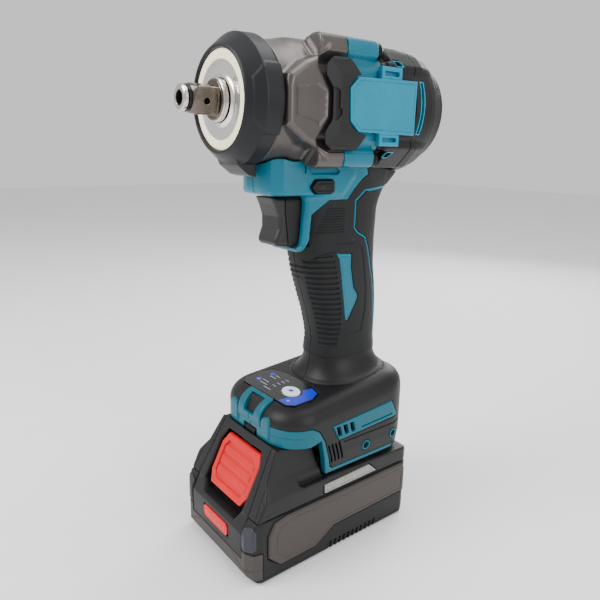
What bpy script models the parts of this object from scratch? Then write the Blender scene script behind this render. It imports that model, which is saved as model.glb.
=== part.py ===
"""Cordless half-inch impact wrench with a slide-on battery pack.

Frame: millimetre values below are turned into metres. +Z is up, the drive
points along -Y, and X = 0 is the plane where the two housing halves meet.
The left of the tool is +X. The origin is on the ground under the middle of
the tool's outline.
"""

import math

import bmesh
import bpy
from mathutils import Matrix, Vector

MM = 0.001

# ---- driving dimensions, in millimetres --------------------------------
GAP = 0.3  # clearance between pieces that touch

AXIS_Z = 249.0  # height of the drive axis
ANVIL_TIP_Y = -76.0
SQUARE = 12.7  # half-inch drive, across flats
SQUARE_TWIST = math.radians(12)  # how far the square stands round the axis

LUG_OFFSET = 26.4  # case screws, from the axis in X and in Z
LUG_R = 5.5
BARREL_R = 35.2  # motor barrel of the housing
BARREL_BORE_R = 27.8
BARREL_FRONT_Y = -2.4
BARREL_REAR_Y = 23.3
REAR_Y = 76.0  # end disc of the rear cover

GEAR_MODULE = 1.0
PRESSURE_ANGLE = math.radians(25)
ADDENDUM, DEDENDUM = 0.8, 1.05
SUN_TEETH, PLANET_TEETH, RING_TEETH = 9, 12, 33
PLANET_ORBIT_R = GEAR_MODULE * (SUN_TEETH + PLANET_TEETH) / 2
PLANET_ANGLES = [math.radians(a) for a in (90, 210, 330)]
GEAR_Y = (1.4, 9.0)  # face width of the planets
THINNING = 0.18  # taken from each tooth's thickness for backlash

HAMMER_STROKE = 6.0
TRIGGER_STROKE = 7.0
LATCH_STROKE = 4.5

TOP_SLOPE = 0.09  # the foot's top rises to the rear
TOP_Z = 94.4  # height of that plane at Y = 0
TOP_TILT = math.atan(TOP_SLOPE)

BATTERY_W = 75.0
BATTERY_Y = (-62.6, 56.8)
CELL_R, CELL_LEN, CELL_PITCH = 9.2, 65.0, 18.9

TEAL = ((0.0, 0.25, 0.33, 1), 0.38, 0.0)
BLACK = ((0.018, 0.018, 0.02, 1), 0.55, 0.0)
RUBBER = ((0.025, 0.025, 0.027, 1), 0.75, 0.0)
DARK = ((0.045, 0.045, 0.048, 1), 0.5, 0.0)
GUNMETAL = ((0.12, 0.112, 0.108, 1), 0.38, 0.7)
STEEL = ((0.5, 0.49, 0.47, 1), 0.28, 1.0)
DARK_STEEL = ((0.2, 0.19, 0.18, 1), 0.35, 1.0)
WARM_GREY = ((0.075, 0.07, 0.067, 1), 0.5, 0.0)
RED = ((0.7, 0.03, 0.03, 1), 0.4, 0.0)
COPPER = ((0.6, 0.24, 0.1, 1), 0.35, 1.0)
BOARD = ((0.02, 0.12, 0.05, 1), 0.45, 0.0)
LENS = ((0.85, 0.82, 0.62, 1), 0.35, 0.0)
CLEAR = ((0.55, 0.55, 0.53, 1), 0.25, 0.0)
WHITE = ((0.85, 0.85, 0.85, 1), 0.35, 0.0)
CELL_BLUE = ((0.05, 0.12, 0.4, 1), 0.4, 0.0)

# ---- scene and helpers ---------------------------------------------------
for old in list(bpy.data.objects):
    bpy.data.objects.remove(old, do_unlink=True)

PARTS = bpy.data.collections.new("impact_wrench")
TOOLS = bpy.data.collections.new("cutters")
bpy.context.scene.collection.children.link(PARTS)
bpy.context.scene.collection.children.link(TOOLS)
bpy.context.scene.unit_settings.scale_length = 1.0


def material(name, look):
    colour, rough, metal = look
    made = bpy.data.materials.new(name)
    made.use_nodes = True
    shader = made.node_tree.nodes["Principled BSDF"]
    shader.inputs["Base Color"].default_value = colour
    shader.inputs["Roughness"].default_value = rough
    shader.inputs["Metallic"].default_value = metal
    made.diffuse_color = colour
    return made


def add(name, mesh, look=None):
    """A new object: a part if it has a look, and otherwise a cutter or a guide."""
    obj = bpy.data.objects.new(name, mesh)
    if look:
        PARTS.objects.link(obj)
        mesh.materials.clear()
        mesh.materials.append(material("mat_" + name, look))
    else:
        TOOLS.objects.link(obj)
        obj.hide_render = True
        obj.display_type = "WIRE"
    return obj


def from_bmesh(name, bm, look=None):
    bmesh.ops.recalc_face_normals(bm, faces=bm.faces)
    mesh = bpy.data.meshes.new(name)
    bm.to_mesh(mesh)
    bm.free()
    return add(name, mesh, look)


def box(name, low, high, look=None):
    bm = bmesh.new()
    bmesh.ops.create_cube(bm, size=1.0)
    size = [(h - l) * MM for l, h in zip(low, high)]
    mid = [(h + l) / 2 * MM for l, h in zip(low, high)]
    bmesh.ops.transform(
        bm, matrix=Matrix.Translation(mid) @ Matrix.Diagonal((*size, 1)), verts=bm.verts
    )
    return from_bmesh(name, bm, look)


def rod(name, start, end, radius, look=None, sides=24, tip_radius=None):
    """A cylinder, or a cone if tip_radius is given, between two points."""
    a, b = Vector(start) * MM, Vector(end) * MM
    bm = bmesh.new()
    bmesh.ops.create_cone(
        bm,
        cap_ends=True,
        segments=sides,
        radius1=radius * MM,
        radius2=(radius if tip_radius is None else tip_radius) * MM,
        depth=(b - a).length,
    )
    turn = Vector((0, 0, 1)).rotation_difference(b - a).to_matrix().to_4x4()
    bmesh.ops.transform(
        bm, matrix=Matrix.Translation((a + b) / 2) @ turn, verts=bm.verts
    )
    obj = from_bmesh(name, bm, look)
    obj.data.shade_smooth()
    obj.data.set_sharp_from_angle(angle=math.radians(35))
    return obj


def turned(name, profile, look=None, steps=26, closed=False, at=(0, 0, AXIS_Z)):
    """A piece turned about an axis along Y. The profile is (y, radius), nose to rear along its outer side; closed runs back along the bore."""
    bm = bmesh.new()
    verts = [bm.verts.new((r * MM, 0, -y * MM)) for y, r in profile]
    for a, b in zip(verts, verts[1:]):
        bm.edges.new((a, b))
    if closed:
        bm.edges.new((verts[-1], verts[0]))
    mesh = bpy.data.meshes.new(name)
    bm.to_mesh(mesh)
    bm.free()
    obj = add(name, mesh, look)
    screw = obj.modifiers.new("turn", "SCREW")
    screw.axis = "Z"
    screw.angle = math.tau
    screw.steps = screw.render_steps = steps
    screw.use_merge_vertices = True
    screw.merge_threshold = 0.000001
    screw.use_smooth_shade = True
    obj.rotation_euler = (math.pi / 2, 0, 0)
    obj.location = Vector(at) * MM
    return obj


def evaluated_mesh(obj):
    bpy.context.view_layer.update()
    graph = bpy.context.evaluated_depsgraph_get()
    return bpy.data.meshes.new_from_object(obj.evaluated_get(graph), depsgraph=graph)


def baked(obj, weld=1e-7):
    """The object with its modifiers and its place turned into plain mesh."""
    mesh = evaluated_mesh(obj)
    mesh.transform(obj.matrix_world)
    bm = bmesh.new()
    bm.from_mesh(mesh)
    bmesh.ops.remove_doubles(bm, verts=bm.verts, dist=weld)
    bmesh.ops.recalc_face_normals(bm, faces=bm.faces)
    bm.to_mesh(mesh)
    bm.free()
    for other in list(obj.modifiers):
        obj.modifiers.remove(other)
    obj.data = mesh
    obj.matrix_world = Matrix.Identity(4)
    return obj


FRAMES = {
    "YZ": Matrix(((0, 0, 1, 0), (1, 0, 0, 0), (0, 1, 0, 0), (0, 0, 0, 1))),
    "XZ": Matrix(((1, 0, 0, 0), (0, 0, -1, 0), (0, 1, 0, 0), (0, 0, 0, 1))),
    "XY": Matrix.Identity(4),
}


def outline(name, loops, plane, low, high, look=None, place=None):
    """A flat outline, with holes if it has more loops, made thick from low to high along the third axis."""
    if not isinstance(loops[0][0], (tuple, list)):
        loops = [loops]
    curve = bpy.data.curves.new(name, "CURVE")
    curve.dimensions = "2D"
    curve.fill_mode = "BOTH"
    curve.extrude = (high - low) / 2 * MM
    for loop in loops:
        spline = curve.splines.new("POLY")
        spline.points.add(len(loop) - 1)
        for point, (u, v) in zip(spline.points, loop):
            point.co = (u * MM, v * MM, 0, 1)
        spline.use_cyclic_u = True
    guide = bpy.data.objects.new(name + "_curve", curve)
    TOOLS.objects.link(guide)
    mesh = evaluated_mesh(guide)
    bpy.data.objects.remove(guide, do_unlink=True)
    mid = (low + high) / 2 * MM
    shift = {"YZ": (mid, 0, 0), "XZ": (0, mid, 0), "XY": (0, 0, mid)}[plane]
    mesh.transform(Matrix.Translation(shift) @ FRAMES[plane])
    if place is not None:
        mesh.transform(place)
    bm = bmesh.new()
    bm.from_mesh(mesh)
    bmesh.ops.remove_doubles(bm, verts=bm.verts, dist=1e-7)
    bmesh.ops.dissolve_limit(
        bm, angle_limit=0.001, verts=bm.verts, edges=bm.edges
    )
    bmesh.ops.recalc_face_normals(bm, faces=bm.faces)
    bm.to_mesh(mesh)
    bm.free()
    return add(name, mesh, look)


def loft(name, rings, look=None):
    """A solid through rings of equal point count, closed by a flat face at each end."""
    bm = bmesh.new()
    rows = [[bm.verts.new(Vector(p) * MM) for p in ring] for ring in rings]
    count = len(rows[0])
    for below, above in zip(rows, rows[1:]):
        for i in range(count):
            j = (i + 1) % count
            bm.faces.new((below[i], below[j], above[j], above[i]))
    bm.faces.new(list(reversed(rows[0])))
    bm.faces.new(rows[-1])
    bmesh.ops.triangulate(bm, faces=[f for f in bm.faces if len(f.verts) == 4])
    return from_bmesh(name, bm, look)


def boolean(obj, tool, operation):
    mod = obj.modifiers.new(operation.lower(), "BOOLEAN")
    mod.operation = operation
    mod.solver = "EXACT"
    mod.object = tool
    return obj


def cut(obj, *tools):
    for tool in tools:
        boolean(obj, tool, "DIFFERENCE")
    return obj


def join(obj, *tools):
    for tool in tools:
        boolean(obj, tool, "UNION")
    return obj


def keep(obj, tool):
    return boolean(obj, tool, "INTERSECT")


def bevel(obj, width, segments=1, angle=30):
    mod = obj.modifiers.new("bevel", "BEVEL")
    mod.width = width * MM
    mod.segments = segments
    mod.limit_method = "ANGLE"
    mod.angle_limit = math.radians(angle)
    return obj


def circle(radius, sides, centre=(0, 0), start=0.0):
    return [
        (
            centre[0] + radius * math.cos(start + math.tau * i / sides),
            centre[1] + radius * math.sin(start + math.tau * i / sides),
        )
        for i in range(sides)
    ]


def superellipse(a, b, power, count, centre=(0, 0)):
    points = []
    for i in range(count):
        t = math.tau * (i + 0.5) / count
        c, s = math.cos(t), math.sin(t)
        points.append(
            (
                centre[0] + a * math.copysign(abs(c) ** (2 / power), c),
                centre[1] + b * math.copysign(abs(s) ** (2 / power), s),
            )
        )
    return points


def mirror_x(points):
    return [(-x, y) for x, y in reversed(points)]


# ---- gear teeth ----------------------------------------------------------
def involute(angle):
    return math.tan(angle) - angle


def tooth_half_angle(teeth, radius, thickness_change):
    """Half the angle a tooth fills at a radius, for this pitch and pressure angle."""
    pitch = GEAR_MODULE * teeth / 2
    base = pitch * math.cos(PRESSURE_ANGLE)
    at_pitch = math.pi / (2 * teeth) + thickness_change / (2 * pitch)
    roll = math.acos(min(1.0, base / max(radius, base)))
    return at_pitch + involute(PRESSURE_ANGLE) - involute(roll)


def spur(teeth, phase):
    """The outline of an external gear with a tooth centred at phase."""
    pitch = GEAR_MODULE * teeth / 2
    tip, root = pitch + ADDENDUM, pitch - DEDENDUM
    base = pitch * math.cos(PRESSURE_ANGLE)
    start = max(root + 0.15, base)
    radii = [root, start, pitch, tip]
    halves = [tooth_half_angle(teeth, r, -THINNING) for r in radii]
    halves[0] = min(halves[1] * 1.12, math.pi / teeth * 0.96)
    points = []
    for k in range(teeth):
        mid = phase + math.tau * k / teeth
        points += [(r * math.cos(mid - h), r * math.sin(mid - h)) for r, h in zip(radii, halves)]
        points += [
            (r * math.cos(mid + h), r * math.sin(mid + h))
            for r, h in zip(reversed(radii), reversed(halves))
        ]
    return points


def internal(teeth, phase):
    """The bore of an internal gear with a tooth space centred at phase."""
    pitch = GEAR_MODULE * teeth / 2
    tip, root = pitch - ADDENDUM, pitch + DEDENDUM
    radii = [tip, pitch, root]
    halves = [tooth_half_angle(teeth, r, THINNING) for r in radii]
    points = []
    for k in range(teeth):
        mid = phase + math.tau * k / teeth
        points += [(r * math.cos(mid - h), r * math.sin(mid - h)) for r, h in zip(radii, halves)]
        points += [
            (r * math.cos(mid + h), r * math.sin(mid + h))
            for r, h in zip(reversed(radii), reversed(halves))
        ]
    return points


def on_axis(points):
    return [(x, AXIS_Z + z) for x, z in points]


# ---- anvil, its bush and friction ring -----------------------------------
anvil = turned(
    "anvil",
    [
        (-71.0, 0.0),
        (-71.0, 3.0),
        (ANVIL_TIP_Y, 3.4),
        (ANVIL_TIP_Y, 5.3),
        (-75.3, 6.0),
        (-74.1, 6.0),
        (-74.1, 5.0),
        (-71.9, 5.0),
        (-71.9, 6.1),
        (-70.8, 6.3),
        (-60.4, 6.3),
        (-58.9, 8.6),
        (-58.9, 9.5),
        (-55.3, 9.5),
        (-55.3, 7.5),
        (-33.5, 7.5),
        (-33.5, 9.0),
        (-27.0, 9.0),
        (-27.0, 4.3),
        (-37.4, 4.3),
        (-37.4, 0.0),
    ],
    DARK_STEEL,
    steps=18,
)
square = box("square_guide", (-SQUARE / 2, -71.3, -SQUARE / 2), (SQUARE / 2, -58.5, SQUARE / 2))
bevel(square, 1.0, 1)
square.rotation_euler = (0, SQUARE_TWIST, 0)
square.location = (0, 0, AXIS_Z * MM)
wing = box("wing_guide", (-19.0, -33.3, AXIS_Z - 4.5), (19.0, -27.2, AXIS_Z + 4.5))
wing_bore = rod("wing_bore", (0, -37.3, AXIS_Z), (0, -20, AXIS_Z), 4.3, sides=18)
side = Vector((math.cos(SQUARE_TWIST), 0, -math.sin(SQUARE_TWIST)))
centre = Vector((0, -65.0, AXIS_Z))
detent = rod("detent_hole", centre + side * 4.5, centre + side * 8.0, 1.35, sides=16)
join(anvil, square, wing)
cut(anvil, wing_bore, detent)

turned(
    "friction_ring",
    [(-73.8, 5.7), (-73.0, 6.15), (-72.2, 5.7), (-72.2, 5.3), (-73.8, 5.3)],
    BLACK,
    steps=20,
    closed=True,
)
turned(
    "anvil_bush",
    [(-52.0, 10.5), (-37.6, 10.5), (-37.6, 7.8), (-52.0, 7.8)],
    COPPER,
    steps=24,
    closed=True,
)

# ---- gear case -----------------------------------------------------------
gear_case = turned(
    "gear_case",
    [
        (-53.6, 13.5),
        (-43.8, 13.5),
        (-43.6, 24.6),
        (-39.8, 24.6),
        (-39.8, 29.4),
        (-27.0, 29.4),
        (-22.5, 31.6),
        (-2.7, 32.2),
        (-2.7, 27.5),
        (11.8, 27.5),
        (11.8, 24.0),
        (-35.2, 24.0),
        (-35.2, 12.5),
        (-37.2, 12.5),
        (-37.2, 10.8),
        (-53.6, 10.8),
    ],
    GUNMETAL,
    closed=True,
)
CHEEK = [
    (-38.7, 255.0),
    (-37.4, 260.2),
    (-28.0, 266.5),
    (-20.4, 269.5),
    (-20.3, 264.6),
    (-13.6, 255.2),
    (-13.6, 241.2),
    (-20.6, 231.8),
    (-20.6, 227.5),
    (-28.0, 230.5),
    (-31.8, 233.3),
    (-38.7, 238.2),
]
bore_guide = turned(
    "gear_case_chamber",
    [(-35.4, 0.0), (-35.4, 24.0), (20.0, 24.0), (20.0, 0.0)],
)
for sign, tag in ((1, "left"), (-1, "right")):
    cheek = outline(
        "cheek_" + tag, CHEEK, "YZ", *sorted((sign * 22.0, sign * 33.2))
    )
    join(gear_case, cheek)
LUGS = [(sx * LUG_OFFSET, AXIS_Z + sz * LUG_OFFSET) for sx in (1, -1) for sz in (1, -1)]
for k, (x, z) in enumerate(LUGS):
    join(gear_case, rod(f"case_lug_{k}", (x, -19.3, z), (x, -2.75, z), LUG_R, sides=14))
    wx, wz = x * 0.86, AXIS_Z + (z - AXIS_Z) * 0.86
    join(gear_case, rod(f"case_web_{k}", (wx, -18.6, wz), (wx, -2.8, wz), 6.3, sides=14))
cut(gear_case, bore_guide)
for k, (x, z) in enumerate(LUGS):
    cut(gear_case, rod(f"case_thread_{k}", (x, -14.5, z), (x, 0, z), 2.3, sides=10))
ARMOR_SEAT = [
    (-13.4, 270.8),
    (-13.4, 225.6),
    (-1.0, 225.6),
    (-1.0, 270.8),
]
for sign, tag in ((1, "left"), (-1, "right")):
    cut(
        gear_case,
        outline("case_flat_" + tag, ARMOR_SEAT, "YZ", *sorted((sign * 31.4, sign * 45.0))),
    )

# ---- nose: rubber boot, lamp ring and dish -------------------------------
boot = turned(
    "nose_boot",
    [
        (-57.5, 23.2),
        (-57.9, 24.2),
        (-57.6, 25.4),
        (-49.0, 31.0),
        (-40.2, 31.0),
        (-40.2, 25.0),
        (-50.4, 25.0),
        (-50.4, 23.2),
    ],
    RUBBER,
    closed=True,
)
boot_chin = outline(
    "boot_chin",
    [(-52.0, 224.0), (-50.5, 219.0), (-44.6, 214.4), (-40.3, 213.2), (-40.3, 223.5)],
    "YZ",
    -9.5,
    9.5,
)
boot_clear = turned(
    "boot_chin_clearance",
    [(-60.0, 0.0), (-60.0, 25.0), (-36.0, 25.0), (-36.0, 0.0)],
)
cut(boot_chin, boot_clear)
join(boot, boot_chin)
turned(
    "lamp_lens_ring",
    [(-54.8, 18.4), (-54.8, 22.9), (-50.8, 22.9), (-50.8, 18.4)],
    LENS,
    closed=True,
)
turned(
    "nose_plate",
    [(-55.2, 10.2), (-55.2, 11.2), (-54.2, 13.0), (-54.6, 18.0), (-53.2, 18.0), (-53.9, 14.0), (-53.9, 10.2)],
    STEEL,
    steps=28,
    closed=True,
)

# ---- spindle with planet carrier -----------------------------------------
spindle = turned(
    "spindle",
    [(-36.8, 0.0), (-36.8, 3.3), (-36.2, 3.9), (-26.6, 3.9), (-26.6, 7.5), (-2.2, 7.5), (-2.2, 17.0), (0.6, 17.0), (0.6, 0.0)],
    DARK_STEEL,
    steps=18,
)
rear_disc = turned(
    "carrier_disc",
    [(9.6, 15.2), (11.9, 15.2), (11.9, 6.4), (9.6, 6.4)],
    closed=True,
    steps=18,
)
join(spindle, rear_disc)
for k, angle in enumerate(PLANET_ANGLES):
    a = angle + math.pi / 3
    x, z = 12.2 * math.cos(a), AXIS_Z + 12.2 * math.sin(a)
    join(spindle, rod(f"carrier_pillar_{k}", (x, 0.0, z), (x, 10.0, z), 2.2, sides=12))
for k, angle in enumerate(PLANET_ANGLES):
    x = PLANET_ORBIT_R * math.cos(angle)
    z = AXIS_Z + PLANET_ORBIT_R * math.sin(angle)
    cut(
        spindle,
        rod(f"pin_hole_front_{k}", (x, -1.5, z), (x, 2.0, z), 2.2, sides=12),
        rod(f"pin_hole_rear_{k}", (x, 9.0, z), (x, 13.0, z), 2.2, sides=12),
    )
    rod(f"planet_pin_{k + 1}", (x, -1.2, z), (x, 11.6, z), 1.95, STEEL, sides=12)
    gear = outline(
        f"planet_gear_{k + 1}",
        [
            [(x + u, z + v) for u, v in spur(PLANET_TEETH, angle + math.pi / PLANET_TEETH)],
            circle(2.35, 16, (x, z)),
        ],
        "XZ",
        *GEAR_Y,
        STEEL,
    )
# Balls that drive the hammer sit half in the spindle and half in the hammer.
BALL_Y, BALL_ORBIT, BALL_R = -20.0, 7.9, 2.2
for k, sign in enumerate((1, -1)):
    for name, radius in ((f"cam_ball_{k + 1}", BALL_R), (f"ball_pocket_{k}", BALL_R + GAP)):
        bm = bmesh.new()
        bmesh.ops.create_uvsphere(bm, u_segments=10, v_segments=6, radius=radius * MM)
        bmesh.ops.translate(
            bm, verts=bm.verts, vec=Vector((sign * BALL_ORBIT, BALL_Y, AXIS_Z)) * MM
        )
        made = from_bmesh(name, bm, STEEL if name.startswith("cam") else None)
        made.data.shade_smooth()
        if name.startswith("ball"):
            cut(spindle, made)

# ---- hammer and its spring ------------------------------------------------
hammer = turned(
    "hammer",
    [
        (-26.0, 20.0),
        (-25.0, 21.5),
        (-9.0, 21.5),
        (-9.0, 15.6),
        (-20.5, 15.6),
        (-20.5, 10.4),
        (-9.0, 10.4),
        (-9.0, 8.0),
        (-26.0, 8.0),
    ],
    DARK_STEEL,
    steps=22,
    closed=True,
)
for k, sign in enumerate((1, -1)):
    claw = outline(
        f"hammer_claw_{k}",
        [
            (-5.5, AXIS_Z + sign * 10.2),
            (-8.5, AXIS_Z + sign * 17.8),
            (0.0, AXIS_Z + sign * 19.8),
            (8.5, AXIS_Z + sign * 17.8),
            (5.5, AXIS_Z + sign * 10.2),
        ],
        "XZ",
        -32.8,
        -25.0,
    )
    join(hammer, claw)
for k, sign in enumerate((1, -1)):
    low, high = sorted((sign * 6.0, sign * (BALL_ORBIT + BALL_R + GAP)))
    cut(
        hammer,
        box(
            f"ball_groove_{k}",
            (low, -27.5, AXIS_Z - BALL_R - GAP),
            (high, BALL_Y + BALL_R + GAP, AXIS_Z + BALL_R + GAP),
        ),
    )


def coil(name, radius, wire, turns, start, end, axis, look, per_turn=11):
    """A coil spring on a poly spline about Y or Z, as one tube."""
    curve = bpy.data.curves.new(name, "CURVE")
    curve.dimensions = "3D"
    curve.bevel_depth = wire * MM
    curve.bevel_resolution = 1
    curve.use_fill_caps = True
    spline = curve.splines.new("POLY")
    count = int(turns * per_turn) + 1
    spline.points.add(count - 1)
    for i, point in enumerate(spline.points):
        t = i / (count - 1)
        a = math.tau * turns * t
        along = start + (end - start) * t
        u, v = radius * math.cos(a), radius * math.sin(a)
        if axis == "Y":
            p = (u, along, AXIS_Z + v)
        else:
            p = (u, v - 38.0, along)
        point.co = (p[0] * MM, p[1] * MM, p[2] * MM, 1)
    obj = bpy.data.objects.new(name, curve)
    PARTS.objects.link(obj)
    curve.materials.append(material("mat_" + name, look))
    return obj


coil("hammer_spring", 13.0, 1.2, 4.0, -18.9, -3.8, "Y", STEEL)

# ---- ring gear, motor bracket and motor -------------------------------------
ring = outline(
    "ring_gear",
    [
        on_axis(circle(23.7, 36)),
        on_axis(internal(RING_TEETH, math.pi / 2 + math.pi / RING_TEETH)),
    ],
    "XZ",
    1.0,
    9.4,
    DARK_STEEL,
)
turned(
    "motor_bracket",
    [(12.2, 27.4), (15.4, 27.4), (15.4, 11.4), (21.2, 11.4), (21.2, 8.8), (16.0, 8.8), (16.0, 6.4), (12.2, 6.4)],
    GUNMETAL,
    steps=20,
    closed=True,
)
for name, y in (("front_bearing", 16.3), ("rear_bearing", 62.2)):
    turned(
        name,
        [(y, 8.5), (y + 4.6, 8.5), (y + 4.6, 3.5), (y, 3.5)],
        STEEL,
        steps=20,
        closed=True,
    )
shaft = outline(
    "rotor_shaft", on_axis(spur(SUN_TEETH, math.pi / 2)), "XZ", 1.0, 11.4, STEEL
)
join(shaft, rod("shaft_guide", (0, 0.9, AXIS_Z), (0, 66.5, AXIS_Z), 3.2, sides=20))
turned(
    "rotor_core",
    [(26.0, 11.6), (48.0, 11.6), (48.0, 3.5), (26.0, 3.5)],
    DARK_STEEL,
    steps=24,
    closed=True,
)
stator = turned(
    "stator",
    [(25.0, 25.6), (49.0, 25.6), (49.0, 20.5), (25.0, 20.5)],
    DARK,
    steps=24,
    closed=True,
)
for k in range(6):
    a = math.tau * k / 6
    tooth = box(f"stator_tooth_{k}", (12.2, 25.6, -4.2), (21.5, 48.4, 4.2))
    tooth.rotation_euler = (0, a, 0)
    tooth.location = (0, 0, AXIS_Z * MM)
    join(stator, tooth)
turned(
    "hall_board",
    [(22.0, 24.0), (23.4, 24.0), (23.4, 12.2), (22.0, 12.2)],
    BOARD,
    steps=24,
    closed=True,
)
fan = turned(
    "fan",
    [(51.0, 21.0), (52.2, 21.0), (52.2, 6.0), (58.5, 6.0), (58.5, 3.5), (51.0, 3.5)],
    BLACK,
    steps=24,
    closed=True,
)
for k in range(9):
    a = math.tau * k / 9
    blade = box(f"fan_blade_{k}", (5.0, 51.6, -0.6), (20.3, 58.0, 0.6))
    blade.rotation_euler = (0, a, 0)
    blade.location = (0, 0, AXIS_Z * MM)
    join(fan, blade)

# ---- shapes shared by the housing and the grip --------------------------------
HANDLE = [  # height, middle in Y, half width, half depth
    (108.0, 26.5, 17.6, 22.6),
    (118.0, 26.5, 16.9, 22.0),
    (132.0, 25.3, 16.9, 23.5),
    (148.0, 22.2, 17.4, 25.6),
    (164.0, 18.8, 17.8, 26.9),
    (184.0, 17.4, 18.2, 28.3),
    (203.0, 17.4, 18.6, 29.2),
    (216.0, 16.0, 19.2, 31.5),
    (226.0, 15.5, 20.0, 33.0),
]


def handle_loft(name, grow, low=0.0, high=999.0):
    rings = []
    for z, y, a, b in HANDLE:
        if low <= z <= high:
            rings.append(
                [
                    (px, py, z)
                    for px, py in superellipse(a + grow, b + grow, 2.5, 20, (0, y))
                ]
            )
    return loft(name, rings)


def rounded_plan(half, front, rear, r_front, r_rear, steps=3):
    """Plan of the foot: a rectangle with large corner radii."""
    points = []
    for cx, cy, r, start in (
        (half - r_rear, rear - r_rear, r_rear, 0.0),
        (-half + r_rear, rear - r_rear, r_rear, 90.0),
        (-half + r_front, front + r_front, r_front, 180.0),
        (half - r_front, front + r_front, r_front, 270.0),
    ):
        for i in range(steps + 1):
            a = math.radians(start + 90 * i / steps)
            points.append((cx + r * math.cos(a), cy + r * math.sin(a)))
    return points


FOOT = [  # height at Y = 0, share of the top slope, half width, front, rear
    (50.0, 0.0, 34.6, -37.0, 53.4),
    (56.0, 0.0, 35.6, -38.2, 55.6),
    (72.0, 0.0, 36.0, -39.0, 58.2),
    (81.0, 0.3, 35.9, -39.0, 58.2),
    (87.0, 0.7, 34.6, -37.6, 57.0),
    (91.6, 1.0, 32.0, -35.2, 54.8),
    (TOP_Z, 1.0, 28.0, -32.0, 51.5),
]


def foot_loft(name, grow, top, bottom=50.0):
    rings = []
    for z, share, half, front, rear in FOOT:
        h = min(z, top) if z > 72 else max(z, bottom)
        rings.append(
            [
                (x, y, h + share * TOP_SLOPE * y)
                for x, y in rounded_plan(half + grow, front - grow, rear + grow, 23 + grow, 17 + grow)
            ]
        )
    return loft(name, rings)


# ---- housing, made whole and then split at the middle --------------------------
housing = turned(
    "housing_whole",
    [
        (BARREL_FRONT_Y, BARREL_R - 0.8),
        (BARREL_FRONT_Y + 0.8, BARREL_R),
        (BARREL_REAR_Y, BARREL_R),
        (BARREL_REAR_Y, 20.0),
        (BARREL_FRONT_Y, 20.0),
    ],
    closed=True,
)
for k, (x, z) in enumerate(LUGS):
    wx, wz = x * 0.9, AXIS_Z + (z - AXIS_Z) * 0.9
    join(
        housing,
        rod(f"housing_lug_{k}", (x, BARREL_FRONT_Y - 0.06, z), (x, 18.1, z), LUG_R, sides=14),
        rod(f"housing_web_{k}", (wx, BARREL_FRONT_Y + 0.17, wz), (wx, 17.8, wz), 5.9, sides=14),
    )
chin = outline(
    "chin",
    [
        (-39.4, 213.6),
        (-38.6, 207.2),
        (-36.8, 204.6),
        (-34.0, 203.9),
        (8.0, 203.9),
        (16.0, 214.0),
        (16.0, 228.0),
        (-39.4, 228.0),
    ],
    "YZ",
    -22.0,
    22.0,
)
half_plan = [(0.0, -39.6), (9.0, -39.4), (13.2, -36.5), (16.2, -30.0), (18.4, -16.0), (19.2, 0.0), (19.2, 20.0)]
chin_plan = outline(
    "chin_plan", half_plan + mirror_x(half_plan)[:-1], "XY", 195.0, 235.0
)
keep(chin, chin_plan)
handle = handle_loft("handle_guide", 0.0)
guard = outline(
    "trigger_guard",
    [(-19.6, 175.6), (-18.8, 173.2), (-15.0, 171.4), (-10.0, 170.2), (2.0, 168.0), (6.0, 168.0), (6.0, 175.6)],
    "YZ",
    -11.5,
    11.5,
)
bevel(guard, 1.5)
cheek_plate = outline(
    "trigger_frame",
    [(-12.5, 206.0), (-12.5, 196.0), (-14.5, 184.0), (-17.5, 175.2), (-14.0, 172.0), (8.0, 172.0), (8.0, 206.0)],
    "YZ",
    -14.3,
    14.3,
)
bevel(cheek_plate, 2.4)
tail = outline(
    "tail",
    [(18.0, 224.0), (58.0, 224.0), (58.5, 218.0), (55.5, 211.5), (49.5, 206.5), (45.0, 203.0), (24.0, 198.0)],
    "YZ",
    -13.5,
    13.5,
)
bevel(tail, 2.5)
foot = foot_loft("foot_guide", 0.0, 999.0)
collar = loft(
    "collar",
    [
        [(x, y, z + s * TOP_SLOPE * y) for x, y in superellipse(a, b, 2.3, 20, (0, c))]
        for z, s, a, b, c in (
            (92.0, 1.0, 26.0, 28.0, 26.5),
            (94.6, 1.0, 25.4, 27.4, 26.5),
            (98.5, 0.8, 22.2, 25.4, 26.5),
            (103.0, 0.45, 19.4, 23.8, 26.5),
            (112.0, 0.0, 17.4, 22.4, 26.5),
        )
    ],
)
join(housing, chin, handle, cheek_plate, guard, tail, foot, collar)
housing = baked(housing)

# Room for the motor, the gear case, the rear cover and the screws.
cut(
    housing,
    rod("barrel_bore", (0, -6.0, AXIS_Z), (0, 60.0, AXIS_Z), BARREL_BORE_R, sides=26),
    rod("gear_case_room", (0, -60.0, AXIS_Z), (0, BARREL_FRONT_Y - 0.13, AXIS_Z), 33.0, sides=26),
    rod("rear_cover_room", (0, BARREL_REAR_Y + 0.07, AXIS_Z), (0, 90.0, AXIS_Z), 35.7, sides=26),
    rod("boot_room", (0, -60.0, AXIS_Z), (0, -39.7, AXIS_Z), 60.0, sides=24),
)
for k, (x, z) in enumerate(LUGS[:4]):
    wx, wz = x * 0.86, AXIS_Z + (z - AXIS_Z) * 0.86
    cut(
        housing,
        rod(f"case_web_room_{k}", (wx, -20, wz), (wx, BARREL_FRONT_Y - 0.17, wz), 6.8, sides=14),
        rod(f"screw_hole_{k}", (x, -8, z), (x, 30, z), 2.3, sides=10),
        rod(f"screw_head_room_{k}", (x, 18.17, z), (x, 30, z), 4.2, sides=12),
        rod(f"case_lug_room_{k}", (x, -20, z), (x, BARREL_FRONT_Y - 0.2, z), LUG_R + 0.4, sides=14),
    )
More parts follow.
